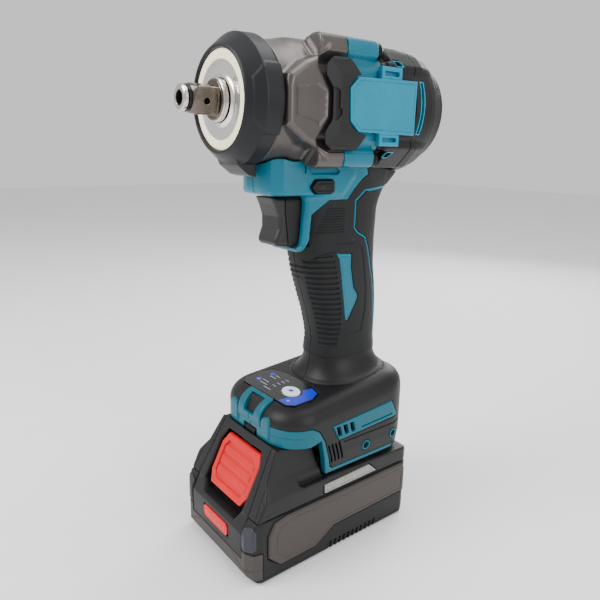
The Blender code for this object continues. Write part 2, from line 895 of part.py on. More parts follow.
# Hollow handle and foot.
handle_hollow = handle_loft("handle_hollow", -4.9)
foot_hollow = loft(
    "foot_hollow",
    [
        [
            (x, y, z + s * TOP_SLOPE * y)
            for x, y in rounded_plan(h, f, r, 21, 15)
        ]
        for z, s, h, f, r in (
            (52.5, 0.0, 32.6, -35.0, 51.0),
            (72.0, 0.0, 33.0, -36.0, 55.2),
            (81.0, 0.3, 32.8, -36.0, 55.2),
            (87.0, 0.8, 31.2, -34.2, 53.6),
            (TOP_Z - 3.6, 1.0, 27.5, -31.5, 50.5),
        )
    ],
)
# The front of the foot keeps a floor above the battery's tower.
front_floor = outline(
    "front_floor",
    [(-60.0, 40.0), (-60.0, 73.6), (-20.4, 73.6), (-13.8, 75.4), (-8.2, 52.3), (-8.2, 40.0)],
    "YZ",
    -50.0,
    50.0,
)
cut(foot_hollow, front_floor)
neck_hollow = loft(
    "neck_hollow",
    [
        [(x, y, z) for x, y in superellipse(12.4, 17.4, 2.5, 16, (0, 26.5))]
        for z in (84.0, 112.0)
    ],
)
cut(housing, handle_hollow, baked(foot_hollow), neck_hollow)
# Underside step over the battery's tower, and the rail slot.
cut(
    housing,
    outline(
        "tower_room",
        [(-60.0, 45.0), (-60.0, 70.8), (-22.5, 70.8), (-15.5, 72.6), (-11.0, 49.5), (-11.0, 45.0)],
        "YZ",
        -50.0,
        50.0,
    ),
    box("rail_slot", (-24.7, -40.0, 45.0), (24.7, 48.5, 54.0)),
    box("rail_head_room", (-27.9, -40.0, 52.4), (27.9, -2.0, 58.6)),
    box("latch_pocket", (-6.5, -60.0, 70.0), (6.5, -34.6, 74.9)),
)
# Trigger opening and the slot of the direction selector.
TRIGGER_ROOM = [
    (-45.0, 175.9),
    (7.2, 175.9),
    (7.2, 203.5),
    (-36.0, 203.5),
    (-45.0, 203.5),
]
SELECTOR = [
    (-13.2, 208.2),
    (-10.2, 211.6),
    (0.6, 211.6),
    (1.6, 210.6),
    (1.6, 206.0),
    (0.6, 205.0),
    (-10.2, 205.0),
]


def grown(points, by):
    """The outline moved outward by a distance, for convex outlines."""
    cx = sum(p[0] for p in points) / len(points)
    cy = sum(p[1] for p in points) / len(points)
    moved = []
    for x, y in points:
        d = math.hypot(x - cx, y - cy)
        k = (d + by * 1.3) / d
        moved.append((cx + (x - cx) * k, cy + (y - cy) * k))
    return moved


cut(
    housing,
    outline("trigger_room", TRIGGER_ROOM, "YZ", -10.3, 10.3),
    outline("selector_room", grown(SELECTOR, 0.35), "YZ", -30.0, 30.0),
)
housing = baked(housing)

# Flats and seats on the outside.
GRIP_EDGE = [
    (-40.0, 112.5),
    (-40.0, 168.0),
    (-12.4, 168.0),
    (-7.6, 172.5),
    (-2.0, 178.5),
    (0.2, 194.0),
    (6.0, 199.6),
    (18.0, 200.6),
    (23.5, 205.0),
    (46.0, 205.4),
    (70.0, 205.4),
    (70.0, 112.5),
]
grip_seat = outline("grip_seat", GRIP_EDGE, "YZ", -40.0, 40.0)
cut(grip_seat, handle_loft("handle_under_grip", -2.5))
cut(housing, baked(grip_seat))
for sign, tag in ((1, "left"), (-1, "right")):
    cut(
        housing,
        box(
            "barrel_flat_" + tag,
            (min(sign * 31.5, sign * 45), -5.0, 225.4),
            (max(sign * 31.5, sign * 45), 30.0, 271.0),
        ),
    )
# Bosses for the two foot screws on the left half.
FOOT_SCREWS = [(18.8, 59.1), (41.7, 59.7)]
for k, (y, z) in enumerate(FOOT_SCREWS):
    join(housing, rod(f"screw_boss_{k}", (28.0, y, z), (34.0, y, z), 3.8, sides=16))
for k, (y, z) in enumerate(FOOT_SCREWS):
    cut(
        housing,
        rod(f"foot_screw_room_{k}", (32.4, y, z), (40.0, y, z), 2.8, sides=16),
        rod(f"foot_thread_{k}", (27.0, y, z), (35.0, y, z), 1.7, sides=12),
    )
# Pocket of the display panel in the sloping top, and the room below its button.
TOP_PLACE = Matrix.Translation((0, 0, TOP_Z * MM)) @ Matrix.Rotation(TOP_TILT, 4, "X")
PANEL = [
    (-21.0, -29.5),
    (21.0, -29.5),
    (25.0, -26.0),
    (26.0, -14.0),
    (22.5, -7.5),
    (12.0, -4.4),
    (-12.0, -4.4),
    (-22.5, -7.5),
    (-26.0, -14.0),
    (-25.0, -26.0),
]
BUTTON_AT = (10.0, -17.5)
cut(
    housing,
    outline("panel_pocket", grown(PANEL, 0.3), "XY", -1.2, 6.0, place=TOP_PLACE),
    outline("button_room", superellipse(6.8, 5.1, 2.0, 24, BUTTON_AT), "XY", -2.2, 6.0, place=TOP_PLACE),
)
housing = baked(housing)
for sign, tag in ((1, "left"), (-1, "right")):
    low, high = sorted((sign * 0.15, sign * 60.0))
    half = add("housing_" + tag, housing.data.copy(), TEAL)
    keep(half, box("half_space_" + tag, (low, -120.0, 20.0), (high, 120.0, 300.0)))

# ---- grip rubbers over the handle ------------------------------------------
for sign, tag in ((1, "left"), (-1, "right")):
    low, high = sorted((sign * 0.15, sign * 40.0))
    region = outline(
        "grip_region_" + tag,
        [
            (-40.0, 113.0),
            (-40.0, 167.6),
            (-12.6, 167.6),
            (-7.9, 172.1),
            (-1.6, 178.3),
            (0.6, 193.8),
            (6.2, 199.2),
            (18.2, 200.2),
            (23.8, 204.6),
            (70.0, 205.0),
            (70.0, 113.0),
        ],
        "YZ",
        low,
        high,
    )
    grip = add("grip_" + tag, handle_loft("grip_outer_" + tag, 0.0).data, RUBBER)
    keep(grip, region)
    cut(grip, handle_loft("grip_inner_" + tag, -2.2))

# ---- armour plates, side covers and the rear cover ---------------------------
ARMOR = [
    (-13.1, 269.3),
    (-3.1, 270.3),
    (4.6, 262.4),
    (2.0, 261.9),
    (-3.5, 256.3),
    (-2.7, 240.5),
    (3.1, 235.2),
    (9.6, 234.5),
    (2.6, 226.1),
    (-13.1, 226.9),
    (-19.7, 231.9),
    (-12.8, 241.8),
    (-12.8, 254.6),
    (-19.3, 264.0),
]
SIDE_COVER = [
    (2.6, 261.4),
    (-3.0, 256.0),
    (-2.2, 240.8),
    (3.4, 235.8),
    (18.0, 235.4),
    (18.0, 229.2),
    (32.6, 229.2),
    (32.6, 235.2),
    (44.2, 234.9),
    (44.6, 262.3),
    (32.6, 262.2),
    (32.6, 267.8),
    (18.0, 267.8),
    (18.0, 261.8),
]
for sign, tag in ((1, "left"), (-1, "right")):
    plate = outline("armor_" + tag, ARMOR, "YZ", *sorted((sign * 33.6, sign * 35.6)), DARK)
    pad = outline(
        "armor_pad_" + tag,
        [(-12.0, 268.5), (-4.0, 268.8), (-4.2, 228.0), (-12.0, 228.2)],
        "YZ",
        *sorted((sign * 31.8, sign * 34.4)),
    )
    bevel(plate, 0.5)
    join(plate, pad)
    cover = outline(
        "side_cover_" + tag, SIDE_COVER, "YZ", *sorted((sign * 31.9, sign * 34.9)), TEAL
    )
    bevel(cover, 0.6)
rear_cover = turned(
    "rear_cover",
    [
        (72.5, 0.0),
        (72.5, 8.0),
        (67.2, 8.0),
        (67.2, 8.8),
        (60.6, 8.8),
        (60.6, 11.5),
        (72.0, 11.5),
        (72.0, 20.0),
        (64.0, 28.2),
        (24.0, 28.2),
        (BARREL_REAR_Y + GAP, 34.4),
        (24.4, 35.2),
        (57.5, 34.8),
        (62.0, 34.2),
        (66.0, 32.6),
        (66.6, 31.0),
        (70.0, 30.5),
        (70.6, 29.0),
        (74.6, 28.2),
        (REAR_Y, 27.0),
        (REAR_Y, 0.0),
    ],
    BLACK,
)
for sign, tag in ((1, "left"), (-1, "right")):
    cut(
        rear_cover,
        box(
            "rear_flat_" + tag,
            (min(sign * 31.6, sign * 45), 20.0, 228.7),
            (max(sign * 31.6, sign * 45), 45.2, 268.3),
        ),
        outline(
            "rear_slot_" + tag,
            [(49.4, 262.4), (51.6, 262.4), (51.0, 236.0), (48.8, 236.0)],
            "YZ",
            *sorted((sign * 24.0, sign * 45.0)),
        ),
    )
for k in range(5):
    a = math.tau * k / 5 + math.pi / 2
    slot = box(f"end_vent_{k}", (14.0, 69.0, -1.3), (22.5, 80.0, 1.3))
    slot.rotation_euler = (0, a, 0)
    slot.location = (0, 0, AXIS_Z * MM)
    cut(rear_cover, slot)

# ---- screws ------------------------------------------------------------------
for k, (x, z) in enumerate(LUGS):
    screw = turned(
        f"case_screw_{k + 1}",
        [(-13.5, 0.0), (-13.5, 2.0), (18.4, 2.0), (18.4, 3.8), (22.2, 3.8), (22.9, 3.1), (22.9, 1.7), (20.6, 1.7), (20.6, 0.0)],
        DARK_STEEL,
        steps=8,
        at=(x, 0, z),
    )
for k, (y, z) in enumerate(FOOT_SCREWS):
    screw = rod(f"foot_screw_{k + 1}", (32.7, y, z), (34.4, y, z), 2.5, BLACK, sides=16)
    join(screw, rod(f"foot_shank_{k}", (28.5, y, z), (33.0, y, z), 1.4, sides=12))
    cut(screw, rod(f"foot_socket_{k}", (33.4, y, z), (36.0, y, z), 1.2, sides=6))

# ---- trigger, switch and direction selector -------------------------------------
trigger = outline(
    "trigger",
    [
        (-32.4, 203.1),
        (-29.2, 197.6),
        (-27.1, 191.5),
        (-27.6, 186.2),
        (-30.0, 181.2),
        (-29.6, 178.2),
        (-26.8, 176.5),
        (-21.5, 176.3),
        (-0.8, 176.3),
        (-0.8, 203.1),
    ],
    "YZ",
    -9.9,
    9.9,
    DARK,
)
bevel(trigger, 2.2, 2, 50)
join(trigger, rod("trigger_plunger", (0, -2.0, 189.0), (0, 15.0, 189.0), 2.4, sides=12))
switch = box("switch_body", (-8.6, 12.0, 168.5), (8.6, 34.0, 199.5), BLACK)
bevel(switch, 1.0)
cut(switch, rod("plunger_bore", (0, 8.0, 189.0), (0, 26.0, 189.0), 3.0, sides=16))
selector = outline("direction_selector", SELECTOR, "YZ", -20.8, 20.8, DARK)
bevel(selector, 0.5)

# ---- electronics in the foot ------------------------------------------------------
controller = box("controller_board", (-23.5, -6.0, 75.5), (23.5, 44.0, 81.5), BOARD)
bevel(controller, 1.2)
terminal = box("terminal_block", (-26.0, 21.5, 52.85), (26.0, 45.0, 64.0), BLACK)
bevel(terminal, 0.8)
for k, x in enumerate((-16.0, 16.0)):
    join(terminal, box(f"terminal_blade_{k}", (x - 0.5, 10.0, 53.8), (x + 0.5, 22.5, 57.2)))
panel = outline(
    "display_panel",
    [PANEL, superellipse(6.7, 5.0, 2.0, 24, BUTTON_AT)],
    "XY",
    -0.9,
    0.25,
    BLACK,
    place=TOP_PLACE,
)
button = outline(
    "mode_button",
    superellipse(6.3, 4.6, 2.0, 24, BUTTON_AT),
    "XY",
    -1.1,
    1.0,
    WHITE,
    place=TOP_PLACE,
)
bevel(button, 0.35, 1, 50)

# ---- battery -------------------------------------------------------------------
CASE_HALF = 36.4
case_plan = [
    (CASE_HALF, -54.8),
    (CASE_HALF, 52.0),
    (CASE_HALF - 2.0, 55.4),
    (CASE_HALF - 5.5, 56.8),
    (0.0, 56.8),
]
case_plan = [(0.0, -62.6), (30.5, -62.6), (35.2, -60.0)] + case_plan
full_plan = case_plan + mirror_x(case_plan)[1:-1]
lower = outline("battery_lower_case", full_plan, "XY", 0.0, 37.4, BLACK)
bevel(lower, 1.4, 1, 60)
cut(
    lower,
    box("lower_hollow", (-33.4, -52.0, 2.2), (33.4, 54.2, 60.0)),
    box("apron_room", (-27.3, -70.0, 13.7), (27.3, -50.0, 60.0)),
    outline(
        "front_slope",
        [(-80.0, 29.0), (-62.75, 29.0), (-40.4, 71.6), (-40.4, 90.0), (-80.0, 90.0)],
        "YZ",
        -50.0,
        50.0,
    ),
)
for sign, tag in ((1, "left"), (-1, "right")):
    side_panel = [
        (-51.2, 14.5),
        (-51.2, 28.0),
        (-47.5, 34.4),
        (-39.0, 36.0),
        (51.0, 36.0),
        (53.4, 33.0),
        (53.4, 16.4),
        (-6.0, 15.4),
        (-19.0, 7.4),
        (-43.5, 7.2),
    ]
    made = outline(
        "battery_side_panel_" + tag,
        side_panel,
        "YZ",
        *sorted((sign * 35.5, sign * BATTERY_W / 2)),
        WARM_GREY,
    )
    bevel(made, 0.6)
    cut(
        lower,
        outline(
            "side_panel_seat_" + tag,
            [(-51.7, 14.3), (-51.7, 28.2), (-47.8, 34.9), (-39.1, 36.5), (51.2, 36.5), (53.8, 33.2), (53.8, 15.9), (-5.8, 14.9), (-18.8, 6.9), (-43.7, 6.7)],
            "YZ",
            *sorted((sign * 35.2, sign * 45.0)),
        ),
    )
upper = outline(
    "battery_upper_case",
    [
        (-58.1, 37.7),
        (-40.7, 71.3),
        (-39.4, 70.3),
        (-16.8, 70.3),
        (-12.2, 49.8),
        (-11.4, 48.4),
        (54.0, 46.8),
        (56.8, 43.5),
        (56.8, 37.7),
    ],
    "YZ",
    -CASE_HALF,
    CASE_HALF,
    BLACK,
)
half_front = [
    (0.0, 37.0),
    (CASE_HALF + 0.5, 37.0),
    (CASE_HALF + 0.5, 49.0),
    (31.0, 56.0),
    (27.0, 73.0),
]
tower_shape = outline(
    "tower_shape", half_front + mirror_x(half_front)[:-1], "XZ", -70.0, 60.0
)
keep(upper, tower_shape)
upper_plan = outline("upper_plan", full_plan, "XY", 30.0, 80.0)
keep(upper, upper_plan)
join(
    upper,
    outline(
        "apron",
        [(-62.6, 14.0), (-62.6, 29.0), (-57.4, 39.0), (-54.0, 39.0), (-54.0, 14.0)],
        "YZ",
        -27.0,
        27.0,
    ),
    box("rail_neck", (-24.3, -12.0, 47.0), (24.3, 20.6, 54.0)),
    box("rail_head", (-27.5, -11.6, 52.9), (27.5, 20.6, 58.2)),
)
cut(
    upper,
    box("upper_hollow_low", (-33.4, -43.4, 30.0), (33.4, 54.2, 40.9)),
    box("upper_hollow_high", (-30.0, -33.6, 40.0), (30.0, 54.2, 45.0)),
    outline(
        "latch_recess",
        [(-80.0, 31.5), (-47.0, 31.5), (-45.6, 39.3), (-43.0, 42.6), (-35.0, 42.6), (-35.0, 68.4), (-80.0, 68.4)],
        "YZ",
        -20.0,
        20.0,
    ),
    box("hook_slot", (-5.5, -45.0, 66.0), (5.5, -35.0, 75.0)),
    box("badge_seat", (-13.3, -70.0, 15.7), (13.3, -61.4, 23.8)),
)
for k, x in enumerate((-16.0, 16.0)):
    cut(upper, box(f"contact_slot_{k}", (x - 1.0, 8.0, 53.2), (x + 1.0, 25.0, 60.0)))
for sign, tag in ((1, "left"), (-1, "right")):
    cut(
        upper,
        outline(
            "window_seat_" + tag,
            [(-13.3, 38.9), (-13.5, 45.2), (21.8, 46.2), (28.6, 39.4)],
            "YZ",
            *sorted((sign * 35.0, sign * 45.0)),
        ),
    )
    outline(
        "battery_window_" + tag,
        [(-12.8, 39.4), (-13.0, 44.7), (21.5, 45.7), (27.8, 39.8)],
        "YZ",
        *sorted((sign * 35.3, sign * 37.0)),
        CLEAR,
    )
badge = box("battery_badge", (-13.0, -63.2, 16.0), (13.0, -61.7, 23.5), RED)
bevel(badge, 0.5)
latch = outline(
    "latch_button",
    [(-56.9, 36.8), (-48.2, 36.8), (-46.5, 44.8), (-40.7, 50.0), (-40.7, 66.0), (-42.3, 66.0)],
    "YZ",
    -19.6,
    19.6,
    RED,
)
bevel(latch, 0.7)
join(
    latch,
    box("latch_hook", (-5.0, -41.3, 56.0), (5.0, -35.5, 74.3)),
)
coil("latch_spring", 2.0, 0.35, 4.0, 43.4, 55.2, "Z", STEEL, per_turn=8)

cells = box("cell_pack", (28.0, -42.9, 2.7), (32.9, 51.6, 40.3), CELL_BLUE)
other_frame = box("cell_frame", (-32.9, -42.9, 2.7), (-28.0, 51.6, 40.3))
join(cells, other_frame)
for row, z in enumerate((12.1, 30.8)):
    for k in range(5):
        y = -33.4 + CELL_PITCH * k
        join(
            cells,
            rod(f"cell_{row}_{k}", (-30.0, y, z), (30.0, y, z), CELL_R, sides=14),
        )
board = box("battery_board", (-22.0, -28.0, 41.4), (22.0, 40.0, 43.0), BOARD)
bevel(board, 0.3)

# Each moving piece turns or slides about an empty on its joint's axis.
AXES = {
    "drive_axis": ((0, 0, AXIS_Z), ["anvil", "friction_ring", "spindle", "hammer", "cam_ball_1", "cam_ball_2", "rotor_shaft", "rotor_core", "fan", "planet_pin_1", "planet_pin_2", "planet_pin_3", "hammer_spring"]),
    "trigger_axis": ((0, -20.0, 189.0), ["trigger"]),
    "selector_axis": ((0, -5.8, 208.3), ["direction_selector"]),
    "button_axis": ((BUTTON_AT[0], BUTTON_AT[1], TOP_Z + TOP_SLOPE * BUTTON_AT[1]), ["mode_button"]),
    "latch_axis": ((0, -44.0, 52.0), ["latch_button", "latch_spring"]),
    "battery_axis": ((0, 0, 50.0), ["battery_lower_case", "battery_upper_case", "cell_pack", "battery_board", "battery_badge", "battery_side_panel_left", "battery_side_panel_right", "battery_window_left", "battery_window_right"]),
}
for k, angle in enumerate(PLANET_ANGLES):
    AXES[f"planet_axis_{k + 1}"] = (
        (PLANET_ORBIT_R * math.cos(angle), 0, AXIS_Z + PLANET_ORBIT_R * math.sin(angle)),
        [f"planet_gear_{k + 1}"],
    )
bpy.context.view_layer.update()
for name, (where, held) in AXES.items():
    empty = bpy.data.objects.new(name, None)
    empty.location = Vector(where) * MM
    empty.empty_display_size = 0.01
    PARTS.objects.link(empty)
    bpy.context.view_layer.update()
    for child in held:
        obj = bpy.data.objects[child]
        obj.parent = empty
        obj.matrix_parent_inverse = empty.matrix_world.inverted()
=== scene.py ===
"""Looks of the impact wrench. Every piece is worked out as a field of distances, in millimetres, and turned into a mesh."""
import math

import bpy
import bmesh
import numpy as np
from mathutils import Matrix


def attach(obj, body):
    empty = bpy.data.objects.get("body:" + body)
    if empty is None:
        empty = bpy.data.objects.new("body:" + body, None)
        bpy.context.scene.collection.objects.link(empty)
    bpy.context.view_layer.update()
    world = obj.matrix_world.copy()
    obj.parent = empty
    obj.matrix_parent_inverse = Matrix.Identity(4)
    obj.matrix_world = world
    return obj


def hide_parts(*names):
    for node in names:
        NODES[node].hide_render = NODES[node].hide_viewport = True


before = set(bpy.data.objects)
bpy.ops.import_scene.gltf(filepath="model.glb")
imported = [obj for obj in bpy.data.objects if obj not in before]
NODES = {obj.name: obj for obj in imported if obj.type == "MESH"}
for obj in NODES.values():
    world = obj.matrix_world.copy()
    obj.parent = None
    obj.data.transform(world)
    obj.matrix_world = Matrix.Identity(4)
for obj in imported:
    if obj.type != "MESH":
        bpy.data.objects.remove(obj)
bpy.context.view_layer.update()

import openvdb
from mathutils import Matrix, Vector

AX = 249.0          # height of the drive axis
MM = 0.001
f4 = np.float32
SCENE = bpy.context.scene

# ------------------------------------------------------------------ materials


def principled(name):
    m = bpy.data.materials.new(name)
    m.use_nodes = True
    nt = m.node_tree
    return m, nt, nt.nodes["Principled BSDF"]


def srgb(r, g, b):
    def one(c):
        c = c / 255
        return c / 12.92 if c <= 0.04045 else ((c + 0.055) / 1.055) ** 2.4
    return (one(r), one(g), one(b), 1)


def look(name, colour, rough=0.5, metal=0.0, grain=0.25, grain_scale=2600, vary=0.12, rough_vary=0.08,
         coat=0.0, spec=0.28, scratch=0.0, mottle=60, sheen=0.0):
    """A moulded or cast surface: spark texture in the bump, and slow changes of colour and roughness."""
    m, nt, p = principled(name)
    N, L = nt.nodes, nt.links
    tc = N.new("ShaderNodeTexCoord")
    big = N.new("ShaderNodeTexNoise"); big.inputs["Scale"].default_value = mottle
    big.inputs["Detail"].default_value = 4
    fine = N.new("ShaderNodeTexNoise"); fine.inputs["Scale"].default_value = grain_scale
    fine.inputs["Detail"].default_value = 3
    for n in (big, fine):
        L.new(tc.outputs["Object"], n.inputs["Vector"])
    ramp = N.new("ShaderNodeValToRGB")
    dark = tuple(c * (1 - vary) for c in colour[:3]) + (1,)
    light = tuple(min(1, c * (1 + vary)) for c in colour[:3]) + (1,)
    ramp.color_ramp.elements[0].position = 0.3; ramp.color_ramp.elements[0].color = dark
    ramp.color_ramp.elements[1].position = 0.7; ramp.color_ramp.elements[1].color = light
    L.new(big.outputs["Fac"], ramp.inputs["Fac"])
    speck = N.new("ShaderNodeMixRGB"); speck.blend_type = "MULTIPLY"; speck.inputs["Fac"].default_value = 0.35
    sr = N.new("ShaderNodeValToRGB")
    sr.color_ramp.elements[0].position = 0.35; sr.color_ramp.elements[0].color = (0.72, 0.72, 0.72, 1)
    sr.color_ramp.elements[1].position = 0.65; sr.color_ramp.elements[1].color = (1, 1, 1, 1)
    L.new(fine.outputs["Fac"], sr.inputs["Fac"])
    L.new(ramp.outputs["Color"], speck.inputs["Color1"]); L.new(sr.outputs["Color"], speck.inputs["Color2"])
    L.new(speck.outputs["Color"], p.inputs["Base Color"])
    rr = N.new("ShaderNodeMapRange")
    rr.inputs["To Min"].default_value = max(0.02, rough - rough_vary)
    rr.inputs["To Max"].default_value = min(1, rough + rough_vary)
    L.new(big.outputs["Fac"], rr.inputs["Value"])
    L.new(rr.outputs["Result"], p.inputs["Roughness"])
    bump = N.new("ShaderNodeBump"); bump.inputs["Strength"].default_value = grain
    bump.inputs["Distance"].default_value = 0.00008
    L.new(fine.outputs["Fac"], bump.inputs["Height"])
    if scratch:
        sc = N.new("ShaderNodeTexNoise"); sc.inputs["Scale"].default_value = 900; sc.inputs["Detail"].default_value = 2
        mp = N.new("ShaderNodeMapping"); mp.inputs["Scale"].default_value = (1, 0.02, 1)
        L.new(tc.outputs["Object"], mp.inputs["Vector"]); L.new(mp.outputs["Vector"], sc.inputs["Vector"])
        b2 = N.new("ShaderNodeBump"); b2.inputs["Strength"].default_value = scratch
        b2.inputs["Distance"].default_value = 0.00004
        L.new(sc.outputs["Fac"], b2.inputs["Height"]); L.new(b2.outputs["Normal"], bump.inputs["Normal"])
    L.new(bump.outputs["Normal"], p.inputs["Normal"])
    p.inputs["Metallic"].default_value = metal
    p.inputs["Specular IOR Level"].default_value = spec
    if coat:
        p.inputs["Coat Weight"].default_value = coat
        p.inputs["Coat Roughness"].default_value = 0.25
    if sheen:
        p.inputs["Sheen Weight"].default_value = sheen
    return m


M = {
    "teal": look("teal_nylon", srgb(0, 104, 126), 0.36, grain=0.2, vary=0.05, coat=0.12),
    "teal_gloss": look("teal_cover", srgb(0, 128, 156), 0.26, grain=0.07, vary=0.05, coat=0.3),
    "teal_foot": look("teal_foot", srgb(0, 90, 107), 0.4, grain=0.2, vary=0.05),
    "black": look("black_nylon", srgb(18, 18, 20), 0.46, grain=0.45, vary=0.1),
    "rubber": look("black_rubber", srgb(15, 16, 18), 0.62, grain=0.4, vary=0.12, sheen=0.05),
    "boot": look("boot_rubber", srgb(21, 22, 25), 0.44, grain=0.3, vary=0.08),
    "armor": look("armor_plastic", srgb(25, 24, 26), 0.5, grain=0.55, vary=0.08),
    "trigger": look("trigger_plastic", srgb(38, 37, 38), 0.42, grain=0.2, vary=0.06),
    "gun": look("gunmetal_paint", srgb(92, 87, 85), 0.36, metal=0.75, grain=0.35, vary=0.06, rough_vary=0.06, grain_scale=3200),
    "steel": look("ground_steel", srgb(205, 200, 192), 0.2, metal=1.0, grain=0.06, vary=0.06, scratch=0.25),
    "dark_steel": look("oiled_steel", srgb(100, 92, 86), 0.26, metal=1.0, grain=0.12, vary=0.14, scratch=0.2),
    "bright": look("bright_plate", srgb(236, 234, 230), 0.16, metal=1.0, grain=0.03, vary=0.03, scratch=0.1),
    "screw": look("screw_black", srgb(26, 25, 25), 0.35, metal=0.6, grain=0.2, vary=0.2),
    "grey": look("warm_grey", srgb(66, 60, 57), 0.5, grain=0.5, vary=0.04),
    "frame": look("pack_frame", srgb(23, 23, 25), 0.45, grain=0.5, vary=0.07),
    "shell": look("pack_shell", srgb(17, 17, 19), 0.45, grain=0.5, vary=0.07),
    "bumper": look("pack_bumper", srgb(46, 48, 55), 0.35, grain=0.2, vary=0.05),
    "red": look("red_nylon", srgb(214, 20, 26), 0.34, grain=0.18, vary=0.05, coat=0.15),
    "panel": look("panel_film", srgb(5, 6, 9), 0.22, grain=0.06, vary=0.1, coat=0.4),
    "blue": look("blue_print", srgb(0, 42, 190), 0.3, grain=0.05, vary=0.05, coat=0.3),
    "white": look("white_key", srgb(232, 236, 240), 0.3, grain=0.05, vary=0.02, coat=0.3),
    "print": look("pale_print", srgb(150, 156, 168), 0.4, grain=0.03, vary=0.03),
    "window": look("light_strip", srgb(140, 140, 134), 0.25, metal=0.35, grain=0.12, vary=0.1, coat=0.5, mottle=200),
    "board": look("board_green", srgb(20, 84, 48), 0.4, grain=0.3, vary=0.3, mottle=400),
    "cell": look("cell_wrap", srgb(40, 96, 170), 0.35, grain=0.08, vary=0.1, coat=0.3),
    "bronze": look("sinter_bronze", srgb(176, 128, 74), 0.35, metal=1.0, grain=0.5, vary=0.15),
    "lam": look("laminations", srgb(70, 72, 78), 0.5, metal=0.7, grain=0.5, vary=0.2, scratch=0.4),
    # Near-black: painted shade for the lining of the anvil bore, and the colour of the latch hook.
    "dark": look("black_and_painted_shade", srgb(8, 8, 9), 0.6, grain=0.3, vary=0.1),
}


def lens_with_painted_glow():
    m = look("lamp_lens", srgb(250, 243, 214), 0.32, grain=0.12, vary=0.03, coat=0.2)
    p = m.node_tree.nodes["Principled BSDF"]
    # The emission is a painted glow that makes the lens brighter than the lamps alone would.
    p.inputs["Emission Color"].default_value = srgb(255, 244, 205)
    p.inputs["Emission Strength"].default_value = 0.6
    p.inputs["Subsurface Weight"].default_value = 0.15
    p.inputs["Subsurface Radius"].default_value = (0.002, 0.002, 0.001)
    return m


M["lens"] = lens_with_painted_glow()

# ------------------------------------------------------------------- fields


class Grid:
    """A block of sample points h apart, in millimetres."""

    def __init__(self, lo, hi, h):
        self.h = h
        self.lo = np.array(lo, float)
        self.n = [int(math.ceil((b - a) / h)) + 1 for a, b in zip(lo, hi)]
        ax = [(lo[i] + h * np.arange(self.n[i])).astype(f4) for i in range(3)]
        self.x = ax[0].reshape(-1, 1, 1)
        self.y = ax[1].reshape(1, -1, 1)
        self.z = ax[2].reshape(1, 1, -1)
        self.r_ax = np.sqrt(self.x ** 2 + (self.z - AX) ** 2)   # (nx,1,nz)


def poly(u, v, pts):
    """Signed distance to a closed outline, less than 0 inside. u and v broadcast."""
    u, v = np.broadcast_arrays(np.asarray(u, f4), np.asarray(v, f4))
    d = np.full(u.shape, 1e9, f4)
    s = np.ones(u.shape, f4)
    n = len(pts)
    for i in range(n):
        (ax, ay), (bx, by) = pts[i], pts[i - 1]
        ex, ey = bx - ax, by - ay
        wx, wy = u - ax, v - ay
        t = np.clip((wx * ex + wy * ey) / (ex * ex + ey * ey + 1e-12), 0, 1)
        d = np.minimum(d, (wx - ex * t) ** 2 + (wy - ey * t) ** 2)
        c1, c2, c3 = v >= ay, v < by, ex * wy > ey * wx
        flip = (c1 & c2 & c3) | (~c1 & ~c2 & ~c3)
        s = np.where(flip, -s, s)
    return s * np.sqrt(d)


def cap(a, b, r=0.0):
    """Where both are inside, with a rounded edge of radius r."""
    if r <= 0:
        return np.maximum(a, b)
    a, b = a + r, b + r
    return np.minimum(np.maximum(a, b), 0) + np.sqrt(np.maximum(a, 0) ** 2 + np.maximum(b, 0) ** 2) - r


def cup(a, b, r=0.0):
    """Either, with a fillet of radius r in the corner."""
    return -cap(-a, -b, r)


def less(a, b, r=0.0):
    return cap(a, -b, r)


def turned(g, profile, dr=0.2):
    """A profile of (y, radius) turned about the drive axis."""
    rmax = float(g.r_ax.max()) + 1
    rr = np.arange(0, rmax, dr, dtype=f4)
    table = poly(g.y.reshape(-1, 1), rr.reshape(1, -1), profile)      # ny, nr
    tt = np.ascontiguousarray(table.T)                                # nr, ny
    q = (g.r_ax[:, 0, :] / dr)
    i = np.minimum(q.astype(np.int32), len(rr) - 2)
    w = (q - i)[..., None].astype(f4)
    d = tt[i] * (1 - w) + tt[i + 1] * w                               # nx, nz, ny
    return d.transpose(0, 2, 1)


def yz(g, pts):
    return poly(g.y, g.z, pts)


def xz(g, pts):
    return poly(g.x, g.z, pts)


def xy(g, pts):
    return poly(g.x, g.y, pts)


def ax_box(g, lo, hi, r=0.0):
    c = [(a + b) / 2 for a, b in zip(lo, hi)]
    s = [(b - a) / 2 for a, b in zip(lo, hi)]
    q = [np.abs(v - c[i]) - s[i] + r for i, v in enumerate((g.x, g.y, g.z))]
    out = np.sqrt(np.maximum(q[0], 0) ** 2 + np.maximum(q[1], 0) ** 2 + np.maximum(q[2], 0) ** 2)
    return out + np.minimum(np.maximum(np.maximum(q[0], q[1]), q[2]), 0) - r


def rod_y(g, x, z, rad, y0, y1, r=0.0):
    d = np.sqrt((g.x - x) ** 2 + (g.z - z) ** 2) - rad
    return cap(d, np.abs(g.y - (y0 + y1) / 2) - (y1 - y0) / 2, r)


def rod_x(g, y, z, rad, x0, x1, r=0.0):
    d = np.sqrt((g.y - y) ** 2 + (g.z - z) ** 2) - rad
    return cap(d, np.abs(g.x - (x0 + x1) / 2) - (x1 - x0) / 2, r)


def interp(v, xs, ys):
    return np.interp(v, xs, ys).astype(f4)


PIECES = []


def clean(me):
    bm = bmesh.new()
    bm.from_mesh(me)
    bmesh.ops.remove_doubles(bm, verts=bm.verts, dist=2e-6)
    bmesh.ops.dissolve_degenerate(bm, dist=1e-6, edges=bm.edges)
    bm.to_mesh(me)
    bm.free()


def place(name, me, body, mat, nodes):
    obj = bpy.data.objects.new(name, me)
    SCENE.collection.objects.link(obj)
    me.materials.append(M[mat])
    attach(obj, body)
    if nodes:
        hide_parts(*nodes)
    PIECES.append(obj)
    return obj


